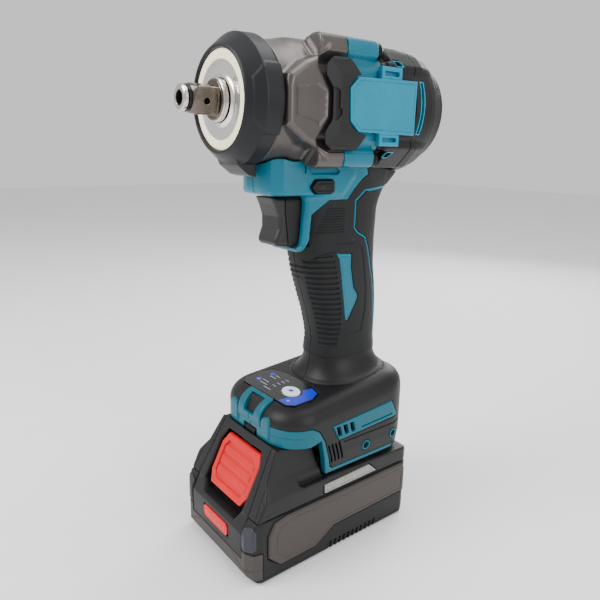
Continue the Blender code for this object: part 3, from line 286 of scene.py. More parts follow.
def skin(name, g, d, body, mat, nodes=(), mirror=False, adapt=0.006, weighted=True):
    """The field's zero surface as a mesh piece."""
    d = np.broadcast_to(d, g.n).astype(f4)
    d = np.clip(d / g.h, -3, 3)
    d[0], d[-1] = 3, 3
    d[:, 0], d[:, -1] = 3, 3
    d[:, :, 0], d[:, :, -1] = 3, 3
    vol = openvdb.FloatGrid(3.0)
    vol.copyFromArray(np.ascontiguousarray(d), tolerance=1e-5)
    pts, tris, quads = vol.convertToPolygons(isovalue=0.0, adaptivity=adapt)
    pts = (pts.astype(np.float64) * g.h + g.lo) * MM
    if mirror:
        pts[:, 0] *= -1
    faces = [tuple(q) for q in quads.tolist()] + [tuple(t) for t in tris.tolist()]
    if not faces:
        raise RuntimeError(name + " is empty")
    # turn the faces outward
    q = quads if len(quads) else tris
    a, b, c = pts[q[:, 0]], pts[q[:, 1]], pts[q[:, 2]]
    v = np.einsum("ij,ij->i", a, np.cross(b, c)).sum()
    if len(quads):
        e = pts[q[:, 3]]
        v += np.einsum("ij,ij->i", a, np.cross(c, e)).sum()
    if len(quads) and len(tris):
        a, b, c = (pts[tris[:, k]] for k in range(3))
        v += np.einsum("ij,ij->i", a, np.cross(b, c)).sum()
    if v < 0:
        faces = [f[::-1] for f in faces]
    me = bpy.data.meshes.new(name)
    me.from_pydata(pts.tolist(), [], faces)
    clean(me)
    me.shade_smooth()
    obj = place(name, me, body, mat, nodes)
    if weighted:
        w = obj.modifiers.new("weighted", "WEIGHTED_NORMAL")
        w.mode = "FACE_AREA"
        w.weight = 60
    return obj


def lathe(name, profile, body, mat, nodes=(), steps=96, at=(0, AX), bevel=0.0):
    """A closed (y, radius) profile turned about a line along Y, with small chamfers."""
    bm = bmesh.new()
    ring = []
    n = len(profile)
    for k in range(steps):
        a = math.tau * k / steps
        ring.append([bm.verts.new(((at[0] + r * math.cos(a)) * MM, y * MM, (at[1] + r * math.sin(a)) * MM)) for y, r in profile])
    for k in range(steps):
        nx = ring[(k + 1) % steps]
        for i in range(n):
            j = (i + 1) % n
            quad = [ring[k][i], ring[k][j], nx[j], nx[i]]
            if profile[i][1] < 1e-6 and profile[j][1] < 1e-6:
                continue
            bm.faces.new(quad)
    bmesh.ops.remove_doubles(bm, verts=bm.verts, dist=1e-7)
    bmesh.ops.dissolve_degenerate(bm, dist=1e-7, edges=bm.edges)
    bmesh.ops.recalc_face_normals(bm, faces=bm.faces)
    me = bpy.data.meshes.new(name)
    bm.to_mesh(me)
    bm.free()
    me.shade_smooth()
    obj = place(name, me, body, mat, nodes)
    me.set_sharp_from_angle(angle=math.radians(32))
    if bevel:
        b = obj.modifiers.new("edge", "BEVEL")
        b.width = bevel * MM
        b.segments = 2
        b.limit_method = "ANGLE"
        b.angle_limit = math.radians(28)
    return obj


# ------------------------------------------------------------ shared outlines
LUG = 26.4
HANDLE = ((84, 26.5, 17.6, 22.6), (108, 26.5, 17.6, 22.6), (118, 26.5, 16.9, 22.0), (132, 25.3, 16.9, 23.5),
          (148, 22.2, 17.4, 25.6), (164, 18.8, 17.8, 26.9), (184, 17.4, 18.2, 28.3),
          (203, 17.4, 18.6, 29.2), (216, 16, 19.2, 31.5), (226, 15.5, 20, 33))


def smooth_interp(v, xs, ys):
    """Values between the rows on a smooth curve, with no overshoot."""
    xs, ys = np.array(xs, float), np.array(ys, float)
    h = np.diff(xs); s = np.diff(ys) / h
    m = np.concatenate([[s[0]], [0 if a * b <= 0 else 2 * a * b / (a + b) for a, b in zip(s[:-1], s[1:])], [s[-1]]])
    v = np.clip(v, xs[0], xs[-1])
    i = np.clip(np.searchsorted(xs, v) - 1, 0, len(xs) - 2)
    t = (v - xs[i]) / h[i]
    return ((1 + 2 * t) * (1 - t) ** 2 * ys[i] + t * (1 - t) ** 2 * h[i] * m[i]
            + t * t * (3 - 2 * t) * ys[i + 1] + t * t * (t - 1) * h[i] * m[i + 1]).astype(f4)


def handle(g, grow=0.0):
    z = g.z.reshape(-1)
    cols = list(zip(*HANDLE))
    yc, a, b = (smooth_interp(z, cols[0], cols[k]).reshape(1, 1, -1) for k in (1, 2, 3))
    u = np.abs(g.x) / a
    v = np.abs(g.y - yc) / b
    p = 2.5
    k = (u ** p + v ** p + 1e-9) ** (1 / p)
    scale = np.sqrt(g.x ** 2 + (g.y - yc) ** 2 + 1e-6) / k
    return (k - 1) * np.minimum(scale, b) - grow


def foot_field(g, grow=0.0, low=50.0, top=None):
    """The rounded foot: its plan shrinks in the top edge, and its top slopes up to the rear."""
    hz = g.z - 0.09 * g.y * np.clip((g.z - 72) / 20, 0, 1)
    half, fr, re = 36.0 + grow, -39.0 - grow, 58.2 + grow
    rad = 20.0
    cy = (fr + re) / 2
    sy = (re - fr) / 2
    qx = np.abs(g.x) - half + rad
    qy = np.abs(g.y - cy) - sy + rad
    plan = np.sqrt(np.maximum(qx, 0) ** 2 + np.maximum(qy, 0) ** 2) + np.minimum(np.maximum(qx, qy), 0) - rad
    plan = plan + np.clip(60 - g.z, 0, 20) * 0.13       # the sides draw in a little towards the battery
    t = 94.4 + grow if top is None else top
    return cap(plan, hz - t, 11.0)


def collar_field(g):
    """The flared neck between the handle and the foot."""
    zs = g.z - 0.09 * g.y * np.clip((112 - g.z) / 18, 0, 1)
    s = np.clip((112 - zs) / 17.4, 0, 1)
    flare = s ** 2.6
    a = 17.3 + flare * 8.2
    b = 22.4 + flare * 5.2
    u, v = np.abs(g.x) / a, np.abs(g.y - 26.5) / b
    p = 2.3
    k = (u ** p + v ** p + 1e-9) ** (1 / p)
    sc = np.sqrt(g.x ** 2 + (g.y - 26.5) ** 2 + 1e-6) / k
    d = (k - 1) * sc
    return cap(d, np.abs(zs - 102) - 11.0, 0.8)


# --------------------------------------------------------------- front end
def build_anvil():
    g = Grid((-19.6, -76.4, AX - 9.9), (19.6, -26.6, AX + 9.9), 0.24)
    d = turned(g, [(-76.0, 0), (-76.0, 5.3), (-75.4, 6.0), (-74.1, 6.0), (-74.1, 5.1), (-71.9, 5.1), (-71.9, 5.9),
                   (-70.9, 6.3), (-58.9, 6.3), (-58.9, 9.0), (-58.4, 9.5), (-55.8, 9.5), (-55.3, 9.0), (-55.3, 7.5),
                   (-33.5, 7.5), (-33.5, 9), (-27, 9), (-27, 0)], 0.1)
    t = math.radians(12)
    u = g.x * math.cos(t) - (g.z - AX) * math.sin(t)
    v = g.x * math.sin(t) + (g.z - AX) * math.cos(t)
    h = 6.35
    sq = cap(np.abs(u) - h, np.abs(v) - h, 1.3)
    cone = g.r_ax - 6.5 - np.clip((g.y + 71.4) * 1.1, 0, 9) + 0 * g.z      # the nose chamfer of the square
    sq = cap(sq, np.abs(g.y + 64.9) - 6.5, 0.5)
    sq = cap(sq, cone, 0.3)
    d = cup(d, sq, 0.7)
    # shallow machined waist behind the square
    wing = ax_box(g, (-19, -33.3, AX - 4.5), (19, -27.2, AX + 4.5), 0.6)
    wing = cap(wing, g.r_ax - 19 + 0 * g.y, 0.4)
    d = cup(d, wing, 0.6)
    hole = np.sqrt((g.y + 65.0) ** 2 + (v) ** 2) - 1.45
    d = less(d, cap(hole, -u, 0), 0.35)
    bore = cap(g.r_ax + 0 * g.y - 3.3, g.y + 70.8, 0.2)
    d = less(d, bore, 0.3)
    d = less(d, cap(g.r_ax + 0 * g.y - 4.3, -(g.y + 37.3), 0.2), 0.3)
    skin("anvil_forging", g, d, "anvil", "dark_steel", ["anvil"], adapt=0.004)
    lathe("anvil_nose_band", [(-76.06, 3.6), (-76.06, 5.2), (-75.4, 6.08), (-74.3, 6.08), (-74.2, 5.95), (-75.3, 5.95), (-75.9, 5.15), (-75.9, 3.6)],
          "anvil", "steel", (), bevel=0.05)
    # a thin near-black lining inside the end bore: painted shade that darkens the hole
    lathe("anvil_bore_painted_shade", [(-75.9, 3.36), (-75.9, 3.0), (-71.2, 2.6), (-71.0, 3.36)], "anvil", "dark", ())
    lathe("friction_split_ring", [(-73.9, 5.2), (-73.9, 5.95), (-73.6, 6.15), (-72.4, 6.15), (-72.1, 5.95), (-72.1, 5.2)],
          "anvil", "screw", ["friction_ring"], bevel=0.08)
    # washer stack round the shoulder
    lathe("anvil_collar", [(-58.2, 9.55), (-57.9, 10.0), (-57.3, 10.0), (-57.0, 9.7), (-56.6, 9.7), (-56.3, 10.0), (-55.7, 10.0), (-55.5, 9.55), (-55.5, 9.2), (-58.2, 9.2)],
          "anvil", "steel", (), bevel=0.06)


def build_nose():
    lathe("nose_dish", [(-55.2, 10.3), (-55.25, 10.9), (-54.7, 11.4), (-54.1, 12.2), (-53.95, 13.4), (-54.2, 15.4), (-54.75, 17.6), (-54.9, 18.25),
                        (-53.2, 18.25), (-53.4, 15), (-53.4, 10.3)], "housing", "bright", ["nose_plate"], steps=128)
    lathe("lamp_diffuser", [(-54.7, 18.4), (-55.0, 18.7), (-55.15, 19.6), (-55.2, 20.8), (-55.05, 22.2), (-54.7, 22.9), (-51.0, 22.9), (-51.0, 18.4)],
          "housing", "lens", ["lamp_lens_ring"], steps=128)
    g = Grid((-33, -59, 211), (33, -39, 282), 0.4)
    d = turned(g, [(-55.4, 23.1), (-56.2, 23.5), (-56.3, 24.3), (-55.7, 25.2), (-49.4, 30.4), (-48.6, 31.0), (-40.9, 31.2), (-40.2, 30.7),
                   (-40.2, 25.0), (-50.4, 25.0), (-50.4, 23.2)])
    # a raised trapezoid pad on each side and faint facets above and below
    pad = yz(g, [(-53.4, 257.6), (-47.2, 264.6), (-38, 264.6), (-38, 233.4), (-47.2, 233.4), (-53.4, 240.4)])
    cone = turned(g, [(-60, 0), (-60, 22.4), (-55.7, 25.6), (-49.4, 31.0), (-48.6, 31.55), (-38, 31.55), (-38, 0)])
    band = cap(cap(cone, pad, 0.5), -(np.abs(g.x) - 18), 0.3)
    d = cup(d, cap(band, -(g.r_ax - 26 + 0 * g.y), 0.3), 0.3)
    d = cap(d, 24.95 - g.r_ax + 0 * g.y + np.where(g.y < -50.2, -2.0, 0).astype(f4), 0)
    chin = cap(yz(g, [(-52.6, 225.0), (-50.6, 219.0), (-44.6, 214.4), (-40.35, 213.2), (-40.35, 225.5)]), np.abs(g.x) - 9.5, 0.9)
    chin = cap(chin, 25.3 - g.r_ax + 0 * g.y, 0.3)
    d = cup(d, chin, 0.8)
    groove = np.abs(cap(g.y * 0.83 + (g.z - 221) * 0.55 + 43.2, np.abs(g.x) - 20)) - 0.3
    d = less(d, cap(cap(groove, g.z - 219.0), -(chin + 0.7), 0), 0.1)
    skin("boot_rubber", g, d, "housing", "boot", ["nose_boot"])


CHEEK = [(-38.7, 255.0), (-37.4, 260.2), (-28.0, 266.5), (-20.4, 269.5), (-20.3, 264.6), (-13.6, 255.2), (-13.6, 241.2),
         (-20.6, 231.8), (-20.6, 227.5), (-28.0, 230.5), (-31.8, 233.3), (-38.7, 238.2)]


def build_gear_case():
    g = Grid((-34, -54, 214), (34, 12.6, 284), 0.4)
    d = turned(g, [(-53.6, 10.8), (-53.6, 13.5), (-43.8, 13.5), (-43.6, 24.4), (-39.8, 24.4), (-39.8, 29.0), (-39.3, 29.4), (-33.5, 29.3), (-30.5, 29.6),
                   (-26.8, 30.2), (-23.5, 31.5), (-20.5, 32.0), (-2.7, 32.2), (-2.7, 27.5), (11.8, 27.5), (11.8, 24.0), (-35.2, 24.0),
                   (-35.2, 12.5), (-37.2, 12.5), (-37.2, 10.8)])
    # four screw lugs with beveled blocks and a ramp to the neck
    for sx in (1, -1):
        for sz in (1, -1):
            x, z = sx * LUG, AX + sz * LUG
            lug = rod_y(g, x, z, 5.5, -19.2, -2.85, 0.9)
            # block turned to the corner
            c = math.sqrt(0.5)
            a = (g.x - x * 0.93) * sx * c + (g.z - AX - (z - AX) * 0.93) * sz * c
            b = (g.x - x * 0.93) * sx * c - (g.z - AX - (z - AX) * 0.93) * sz * c
            block = cap(cap(a - 6.1, np.abs(b) - 6.6, 2.4), cap(-(a + 9), np.abs(g.y + 11.3) - 8.3, 0.4), 0.8)
            ramp = cap(block, (-(g.y) - 19.2) * 0.8 + a * 0.75 - 0.6, 0.8)
            d = cup(d, cup(lug, ramp, 1.2), 1.6)
    d = cap(d, np.abs(g.z - AX) - 31.2 + 0 * g.y, 1.6)
    ax = np.abs(g.x)
    c2 = yz(g, CHEEK)
    cheek = cap(cap(c2, ax - 33.2, 0.7), (c2 + (ax - 31.3) * 0.95) / 1.38, 0.5)
    cheek = cap(cheek, 22 - ax, 0.2)
    d = cup(d, cheek, 1.2)
    inset = yz(g, [(-33.7, 254.9), (-21.5, 256.6), (-15.4, 253.4), (-15.4, 242.6), (-20.4, 238.2), (-33.5, 241.4)])
    d = less(d, cap(inset, 32.55 - ax, 0.25), 0.35)
    rib = yz(g, [(-33.2, 242.6), (-20.6, 239.5), (-20.4, 238.2), (-33.4, 241.2)])
    d = cup(d, cap(cap(rib, ax - 33.05, 0.3), 30 - ax, 0), 0.15)
    d = cap(d, 24.0 - g.r_ax + np.where(g.y < -35.2, -13.2, 0).astype(f4), 0.3)
    # front groove beside the boot, and the seat of the armour plates
    d = less(d, cap(np.abs(g.y + 38.6) - 0.45, 28.7 - g.r_ax), 0.3)
    d = less(d, cap(cap(31.4 - ax, -(g.y + 13.4), 0), np.abs(g.z - 248.2) - 22.4, 0.2), 0.2)
    # lower web shadow line under the cheek
    for sx in (1, -1):
        for sz in (1, -1):
            x, z = sx * LUG, AX + sz * LUG
            d = less(d, rod_y(g, x, z, 2.3, -14.5, 0), 0.2)
    d = cap(d, g.y + 2.75 + np.where(g.r_ax < 27.6, -14.5, 0).astype(f4), 0)
    skin("gear_case_casting", g, d, "housing", "gun", ["gear_case"], adapt=0.004)


ARMOR = [(-13.1, 269.3), (-3.1, 270.3), (4.6, 262.4), (2.0, 261.9), (-3.5, 256.3), (-2.7, 240.5), (3.1, 235.2), (9.6, 234.5),
         (2.6, 226.1), (-13.1, 226.9), (-19.7, 231.9), (-12.8, 241.8), (-12.8, 254.6), (-19.3, 264.0)]
COVER = [(2.6, 261.4), (-3.0, 256.0), (-2.2, 240.8), (3.4, 235.8), (18.0, 235.4), (18.0, 229.2), (32.6, 229.2), (32.6, 235.2),
         (44.2, 234.9), (44.6, 262.3), (32.6, 262.2), (32.6, 267.8), (18.0, 267.8), (18.0, 261.8)]


def build_plates():
    g = Grid((31.2, -21, 224.5), (36.4, 12, 272), 0.25)
    a = yz(g, ARMOR)
    d = cap(a, g.x - 35.6, 0.35)
    d = cap(d, (a + (g.x - 34.5) * 0.9) / 1.35, 0.3)                      # bevel round the rim
    d = cap(d, (g.x - 35.45) * 0.9 + (g.z - 262.5) * 0.22, 0.1)           # upper facet
    d = cap(d, (g.x - 35.45) * 0.9 - (g.z - 234.0) * 0.22, 0.1)           # lower facet
    d = cap(d, (g.x - 35.5) * 0.95 - (g.y + 9.5) * 0.22, 0.1)             # front facet
    notch = yz(g, [(-11.2, 255.4), (-9.6, 254.4), (-9.6, 246.6), (-8.2, 245.6), (-8.2, 243.6), (-11.2, 240.6), (-15, 240.6), (-15, 255.4)])
    d = less(d, cap(notch, 34.0 - g.x), 0.3)
    d = cap(d, 33.6 - g.x + 0 * g.z, 0.2)
    pad = cap(yz(g, [(-12.0, 268.5), (-4.0, 268.8), (-4.2, 228.0), (-12.0, 228.2)]), np.abs(g.x - 33) - 1.2, 0.2)
    d = cup(d, pad, 0.2)
    for tag, mir in (("left", False), ("right", True)):
        skin("armour_plate_" + tag, g, d, "housing", "armor", ["armor_" + tag], mirror=mir, adapt=0.004)
    g = Grid((31.6, -4, 228), (35.9, 46, 269), 0.25)
    c = yz(g, COVER)
    d = cap(c, g.x - 35.15, 0.45)
    main = yz(g, [(3.6, 259.9), (-0.9, 255.3), (-0.5, 241.4), (4.4, 237.3), (42.6, 236.6), (43.0, 260.7)])
    d = less(d, cap(np.abs(main) - 0.22, 34.8 - g.x), 0.12)               # inset border line
    tab = cap(yz(g, [(17.0, 268.4), (33.6, 268.4), (33.6, 228.6), (17.0, 228.6)]), -(np.abs(g.z - 248.5) - 13.6))
    d = less(d, cap(np.abs(tab) - 0.2, 34.8 - g.x), 0.1)
    for z0, z1 in ((263.4, 265.6), (231.2, 233.4)):
        d = less(d, cap(cap(np.abs(g.y - 25.2) - 5.2, np.abs(g.z - (z0 + z1) / 2) - (z1 - z0) / 2, 0.4), 32.6 - g.x), 0.3)
    d = cap(d, 31.9 - g.x + 0 * g.z, 0.2)
    for tag, mir in (("left", False), ("right", True)):
        skin("side_cover_shell_" + tag, g, d, "housing", "teal_gloss", ["side_cover_" + tag], mirror=mir, adapt=0.003)


SLOT = [(49.3, 262.6), (51.8, 262.6), (51.1, 235.8), (48.6, 235.8)]
VENTS = [[(30.6, 271.7), (35.6, 271.7), (37.4, 268.9), (31.6, 268.9)], [(30.2, 226.2), (35.0, 226.2), (33.4, 223.2), (29.0, 223.2)]]


def rear_field(g):
    d = turned(g, [(23.6, 0), (23.6, 34.6), (24.4, 35.2), (57.2, 34.9), (61.8, 34.2), (62.3, 33.7), (65.6, 32.8), (66.2, 31.4), (69.8, 30.6),
                   (70.4, 29.2), (74.4, 28.4), (76.0, 26.6), (76.0, 0)])
    return d


def build_rear():
    g = Grid((-37, 23.2, 211.5), (37, 76.6, 286), 0.42)
    d = rear_field(g)
    for sx in (1, -1):
        for sz in (1, -1):
            x, z = sx * 24.0, AX + sz * 24.0
            c = math.sqrt(0.5)
            a = (g.x * sx + (g.z - AX) * sz) * c
            b = (g.x * sx - (g.z - AX) * sz) * c
            bulge = cap(cap(a - 36.9 + np.clip(g.y - 52, 0, 30) * 0.32, np.abs(b) - 8.6 + np.clip(g.y - 50, 0, 30) * 0.2, 2.0),
                        cap(np.abs(g.y - 44) - 17.5, 20 - a, 0), 1.2)
            d = cup(d, bulge, 2.5)
            # room for the screw head
            d = less(d, rod_y(g, sx * LUG, AX + sz * LUG, 5.0, 17.0, 29.5, 0.8), 0.8)
    d = cap(d, g.z - AX - 32.0 + np.clip(g.y - 40, 0, 60) * 0.12 + 0 * g.x, 5.0)
    ax = np.abs(g.x)
    d = less(d, cap(31.7 - ax, cap(g.y - 45.3, np.abs(g.z - 248.5) - 19.9)), 0.3)
    slot = yz(g, SLOT)
    d = less(d, cap(slot - 0.5, 24 - ax), 0.3)
    for v in VENTS:
        d = less(d, cap(yz(g, v) - 0.3, 21 - ax), 0.2)
    # stepped ridge lines near the end
    for yy in (46.4,):
        d = less(d, cap(np.abs(g.y - yy) - 0.25, 34.5 - g.r_ax), 0.1)
    for k in range(5):
        t = math.tau * k / 5 + math.pi / 2
        u = g.x * math.cos(t) - (g.z - AX) * math.sin(t)
        w = g.x * math.sin(t) + (g.z - AX) * math.cos(t)
        d = less(d, cap(cap(np.abs(w) - 1.3, np.abs(u - 18.2) - 4.3, 1.0), 71.5 - g.y), 0.3)
    d = less(d, cap(np.abs(g.r_ax - 24.6) - 0.35, 75.4 - g.y), 0.15)
    inner = turned(g, [(20, 0), (20, 28.4), (62.5, 28.4), (70.4, 20.0), (70.4, 0)])
    d = less(d, inner, 0.4)
    skin("rear_cover_shell", g, d, "housing", "black", ["rear_cover"])
    # coloured rims let into the slots
    for tag, mir in (("left", False), ("right", True)):
        gg = Grid((26, 27, 220), (36.6, 54, 275), 0.3)
        base = rear_field(gg)
        for sz in (1, -1):
            c = math.sqrt(0.5)
            a = (gg.x + (gg.z - AX) * sz) * c
            b = (gg.x - (gg.z - AX) * sz) * c
            bulge = cap(cap(a - 36.9 + np.clip(gg.y - 52, 0, 30) * 0.32, np.abs(b) - 8.6 + np.clip(gg.y - 50, 0, 30) * 0.2, 2.0),
                        cap(np.abs(gg.y - 44) - 17.5, 20 - a, 0), 1.2)
            base = cup(base, bulge, 2.5)
        sl = yz(gg, SLOT)
        rim = cap(sl - 0.45, -(sl + 0.35), 0.1)
        for v in VENTS:
            p = yz(gg, v)
            rim = np.minimum(rim, cap(p - 0.25, -(p + 0.35), 0.1))
        dd = cap(rim, np.abs(base - 0.0 + 0.7) - 0.9, 0.15)
        skin("slot_rims_" + tag, gg, dd, "housing", "teal_gloss", (), mirror=mir)


def build_screws():
    k = 1
    for sx in (1, -1):
        for sz in (1, -1):
            x, z = sx * LUG, AX + sz * LUG
            lathe(f"case_bolt_{k}", [(-13.5, 0), (-13.5, 2.0), (18.4, 2.0), (18.4, 3.9), (18.8, 4.15), (21.8, 4.15), (22.8, 3.5), (23.1, 2.4), (22.6, 1.9), (20.4, 1.7), (20.4, 0)],
                  "housing", "screw", [f"case_screw_{k}"], steps=48, at=(x, z))
            k += 1


# ----------------------------------------------------------------- housing
GRIPTAIL = [(-45, 108.2), (-45, 171.2), (-19.5, 171.2), (-14.4, 174.6), (-11.0, 180.5), (-9.7, 193.6), (1.0, 201.2), (12.8, 201.4),
            (18.3, 207.8), (23.3, 212.4), (27.5, 214.2), (24.2, 222), (23.7, 232), (80, 232), (80, 108.2)]


def tail_field(g):
    t = poly(g.y, g.z, [(12.0, 228), (63.5, 228), (63.6, 223.5), (61.6, 218.0), (57.2, 212.0), (51.0, 206.4), (45.4, 202.6), (38, 196), (12.0, 196)])
    w = 13.0 + np.clip((g.z - 205) * 0.28, 0, 8) - np.clip((g.y - 44) * 0.25, 0, 6)
    return cap(t, np.abs(g.x) - w, 5.0)


def body_field(g):
    """Handle with the tail behind the motor."""
    return cup(handle(g), tail_field(g), 5.0)


def build_housing():
    g = Grid((-0.15, -40.4, 108), (38.2, 66, 286), 0.45)
    d = cap(turned(g, [(-2.4, 0), (-2.4, 34.5), (-1.7, 35.2), (22.6, 35.2), (23.3, 34.6), (23.3, 0)]), np.abs(g.z - AX) - 30.6, 9.0)
    for sz in (1, -1):
        z = AX + sz * LUG
        lug = rod_y(g, LUG, z, 5.6, -2.4, 18.1, 0.9)
        c = math.sqrt(0.5)
        a = (g.x - LUG * 0.93 + (g.z - AX - sz * LUG * 0.93) * sz) * c
        b = (g.x - LUG * 0.93 - (g.z - AX - sz * LUG * 0.93) * sz) * c
        block = cap(cap(a - 5.6, np.abs(b) - 6.3, 2.2), cap(-(a + 9), np.abs(g.y - 7.85) - 10.15, 0.3), 0.7)
        d = cup(d, cup(lug, block, 0.8), 1.8)
        d = less(d, rod_y(g, LUG, z, 2.3, -8, 30), 0.2)
        d = less(d, rod_y(g, LUG, z, 4.5, 18.15, 30), 0.4)
    d = cap(d, np.abs(g.z - AX) - 31.2, 1.6)
    d = less(d, cap(31.5 - g.x, np.abs(g.z - 248.2) - 22.8), 0.4)
    chin = cap(yz(g, [(-37.0, 213.9), (-36.6, 207.6), (-35.4, 204.9), (-33.0, 203.9), (8, 203.9), (16, 214), (16, 228), (-37.0, 228)]),
               xy(g, [(-5.5, -36.9), (5.5, -36.9), (12.8, -34.0), (16.2, -28), (18.4, -16), (19.2, 0), (19.2, 20), (-19.2, 20)]), 1.8)
    frame_f = cap(yz(g, [(-12.5, 207), (-12.8, 196), (-13.8, 184), (-15.0, 175.2), (-12.5, 171.4), (8, 171), (8, 207)]),
                  g.x - 15.4, 3.2)
    guard = cap(yz(g, [(-16.0, 175.6), (-15.2, 173.4), (-12.2, 171.4), (-8, 169.6), (2, 167.6), (8, 167.6), (8, 175.6)]), g.x - 12.2, 2.4)
    h = cap(handle(g), g.z - 234)
    d = cup(d, chin, 2.0)
    d = cup(d, cup(cup(h, frame_f, 4.0), guard, 3.0), 3.5)
    tl = tail_field(g)
    d = cup(d, tl, 4.0)
    # the black overmould sits on a core 1.7 mm below the surface
    gt = yz(g, GRIPTAIL)
    d = cap(d, np.minimum(np.maximum(-(gt + 0.25), 110 - g.z), cup(handle(g, -1.7), tl + 1.7, 5.0)), 0.2)
    # rooms: gear case, boot, motor, rear cover, switch
    d = cap(d, 29.9 + np.clip((g.y + 31.5) / 9.0, 0, 1) * 2.7 - g.r_ax + np.where(g.y > -2.5, -200, 0).astype(f4), 0.4)
    lugroom = cap(np.sqrt((g.x - LUG) ** 2 + (g.z - (AX - LUG)) ** 2) - 7.0, g.y + 2.6)
    d = less(d, lugroom, 0.3)
    d = cap(d, np.where(g.y > 23.3, 36.0 - g.r_ax, 27.9 - g.r_ax + 0 * g.y).astype(f4), 0)
    d = cap(d, -(g.y + 39.6), 0.2)
    # inside space for the trigger and its switch
    room = cap(yz(g, [(-60, 175.9), (7.2, 175.9), (7.2, 203.6), (-60, 203.6)]), g.x - 10.3, 0.8)
    d = less(d, room, 0.5)
    d = less(d, cap(handle(g, -5.0), np.abs(g.z - 158) - 60), 0)
    sel = yz(g, [(-13.6, 208.2), (-10.5, 212.0), (0.8, 212.0), (2.0, 210.8), (2.0, 205.8), (0.8, 204.6), (-10.5, 204.6)])
    d = less(d, sel + 0 * g.x, 0.35)
    # shallow moulded recess above the selector, and a parting step along the chin
    rec = yz(g, [(-14.5, 219.4), (1.5, 219.0), (5.6, 216.6), (4.6, 214.6), (-12.5, 215.0)])
    d = less(d, cap(rec, 18.2 - g.x), 0.4)
    d = less(d, cap(cap(np.abs(g.y + 16.2) - 0.3, np.abs(g.z - 222) - 6.5), 15.2 - g.x), 0.2)
    for tag, mir in (("left", False), ("right", True)):
        skin("housing_shell_" + tag, g, d, "housing", "teal", ["housing_" + tag], mirror=mir)


RIBS = [(-9.3, 166.6), (-3.0, 170.8), (3.0, 171.9), (6.4, 168.6), (9.0, 158.5), (11.4, 147.5), (13.6, 137.0), (13.8, 127.0), (12.2, 114.2),
        (-8.0, 114.2), (-8.2, 128), (-10.4, 148)]
STRIP = [(7.0, 171.6), (18.0, 170.6), (18.2, 162.5), (21.0, 150.5), (24.3, 146.2), (24.3, 143.4), (18.0, 131.0), (16.8, 131.4), (9.6, 168.3)]
STRAP = [(60, 207.2), (41.9, 206.9), (26.6, 205.8), (19.2, 200.3), (19.2, 185.2), (22.0, 182.2), (28.3, 179.2), (31.5, 173), (37.8, 155), (40.6, 143),
         (42.0, 130), (42.3, 110), (80, 110), (80, 207.2)]


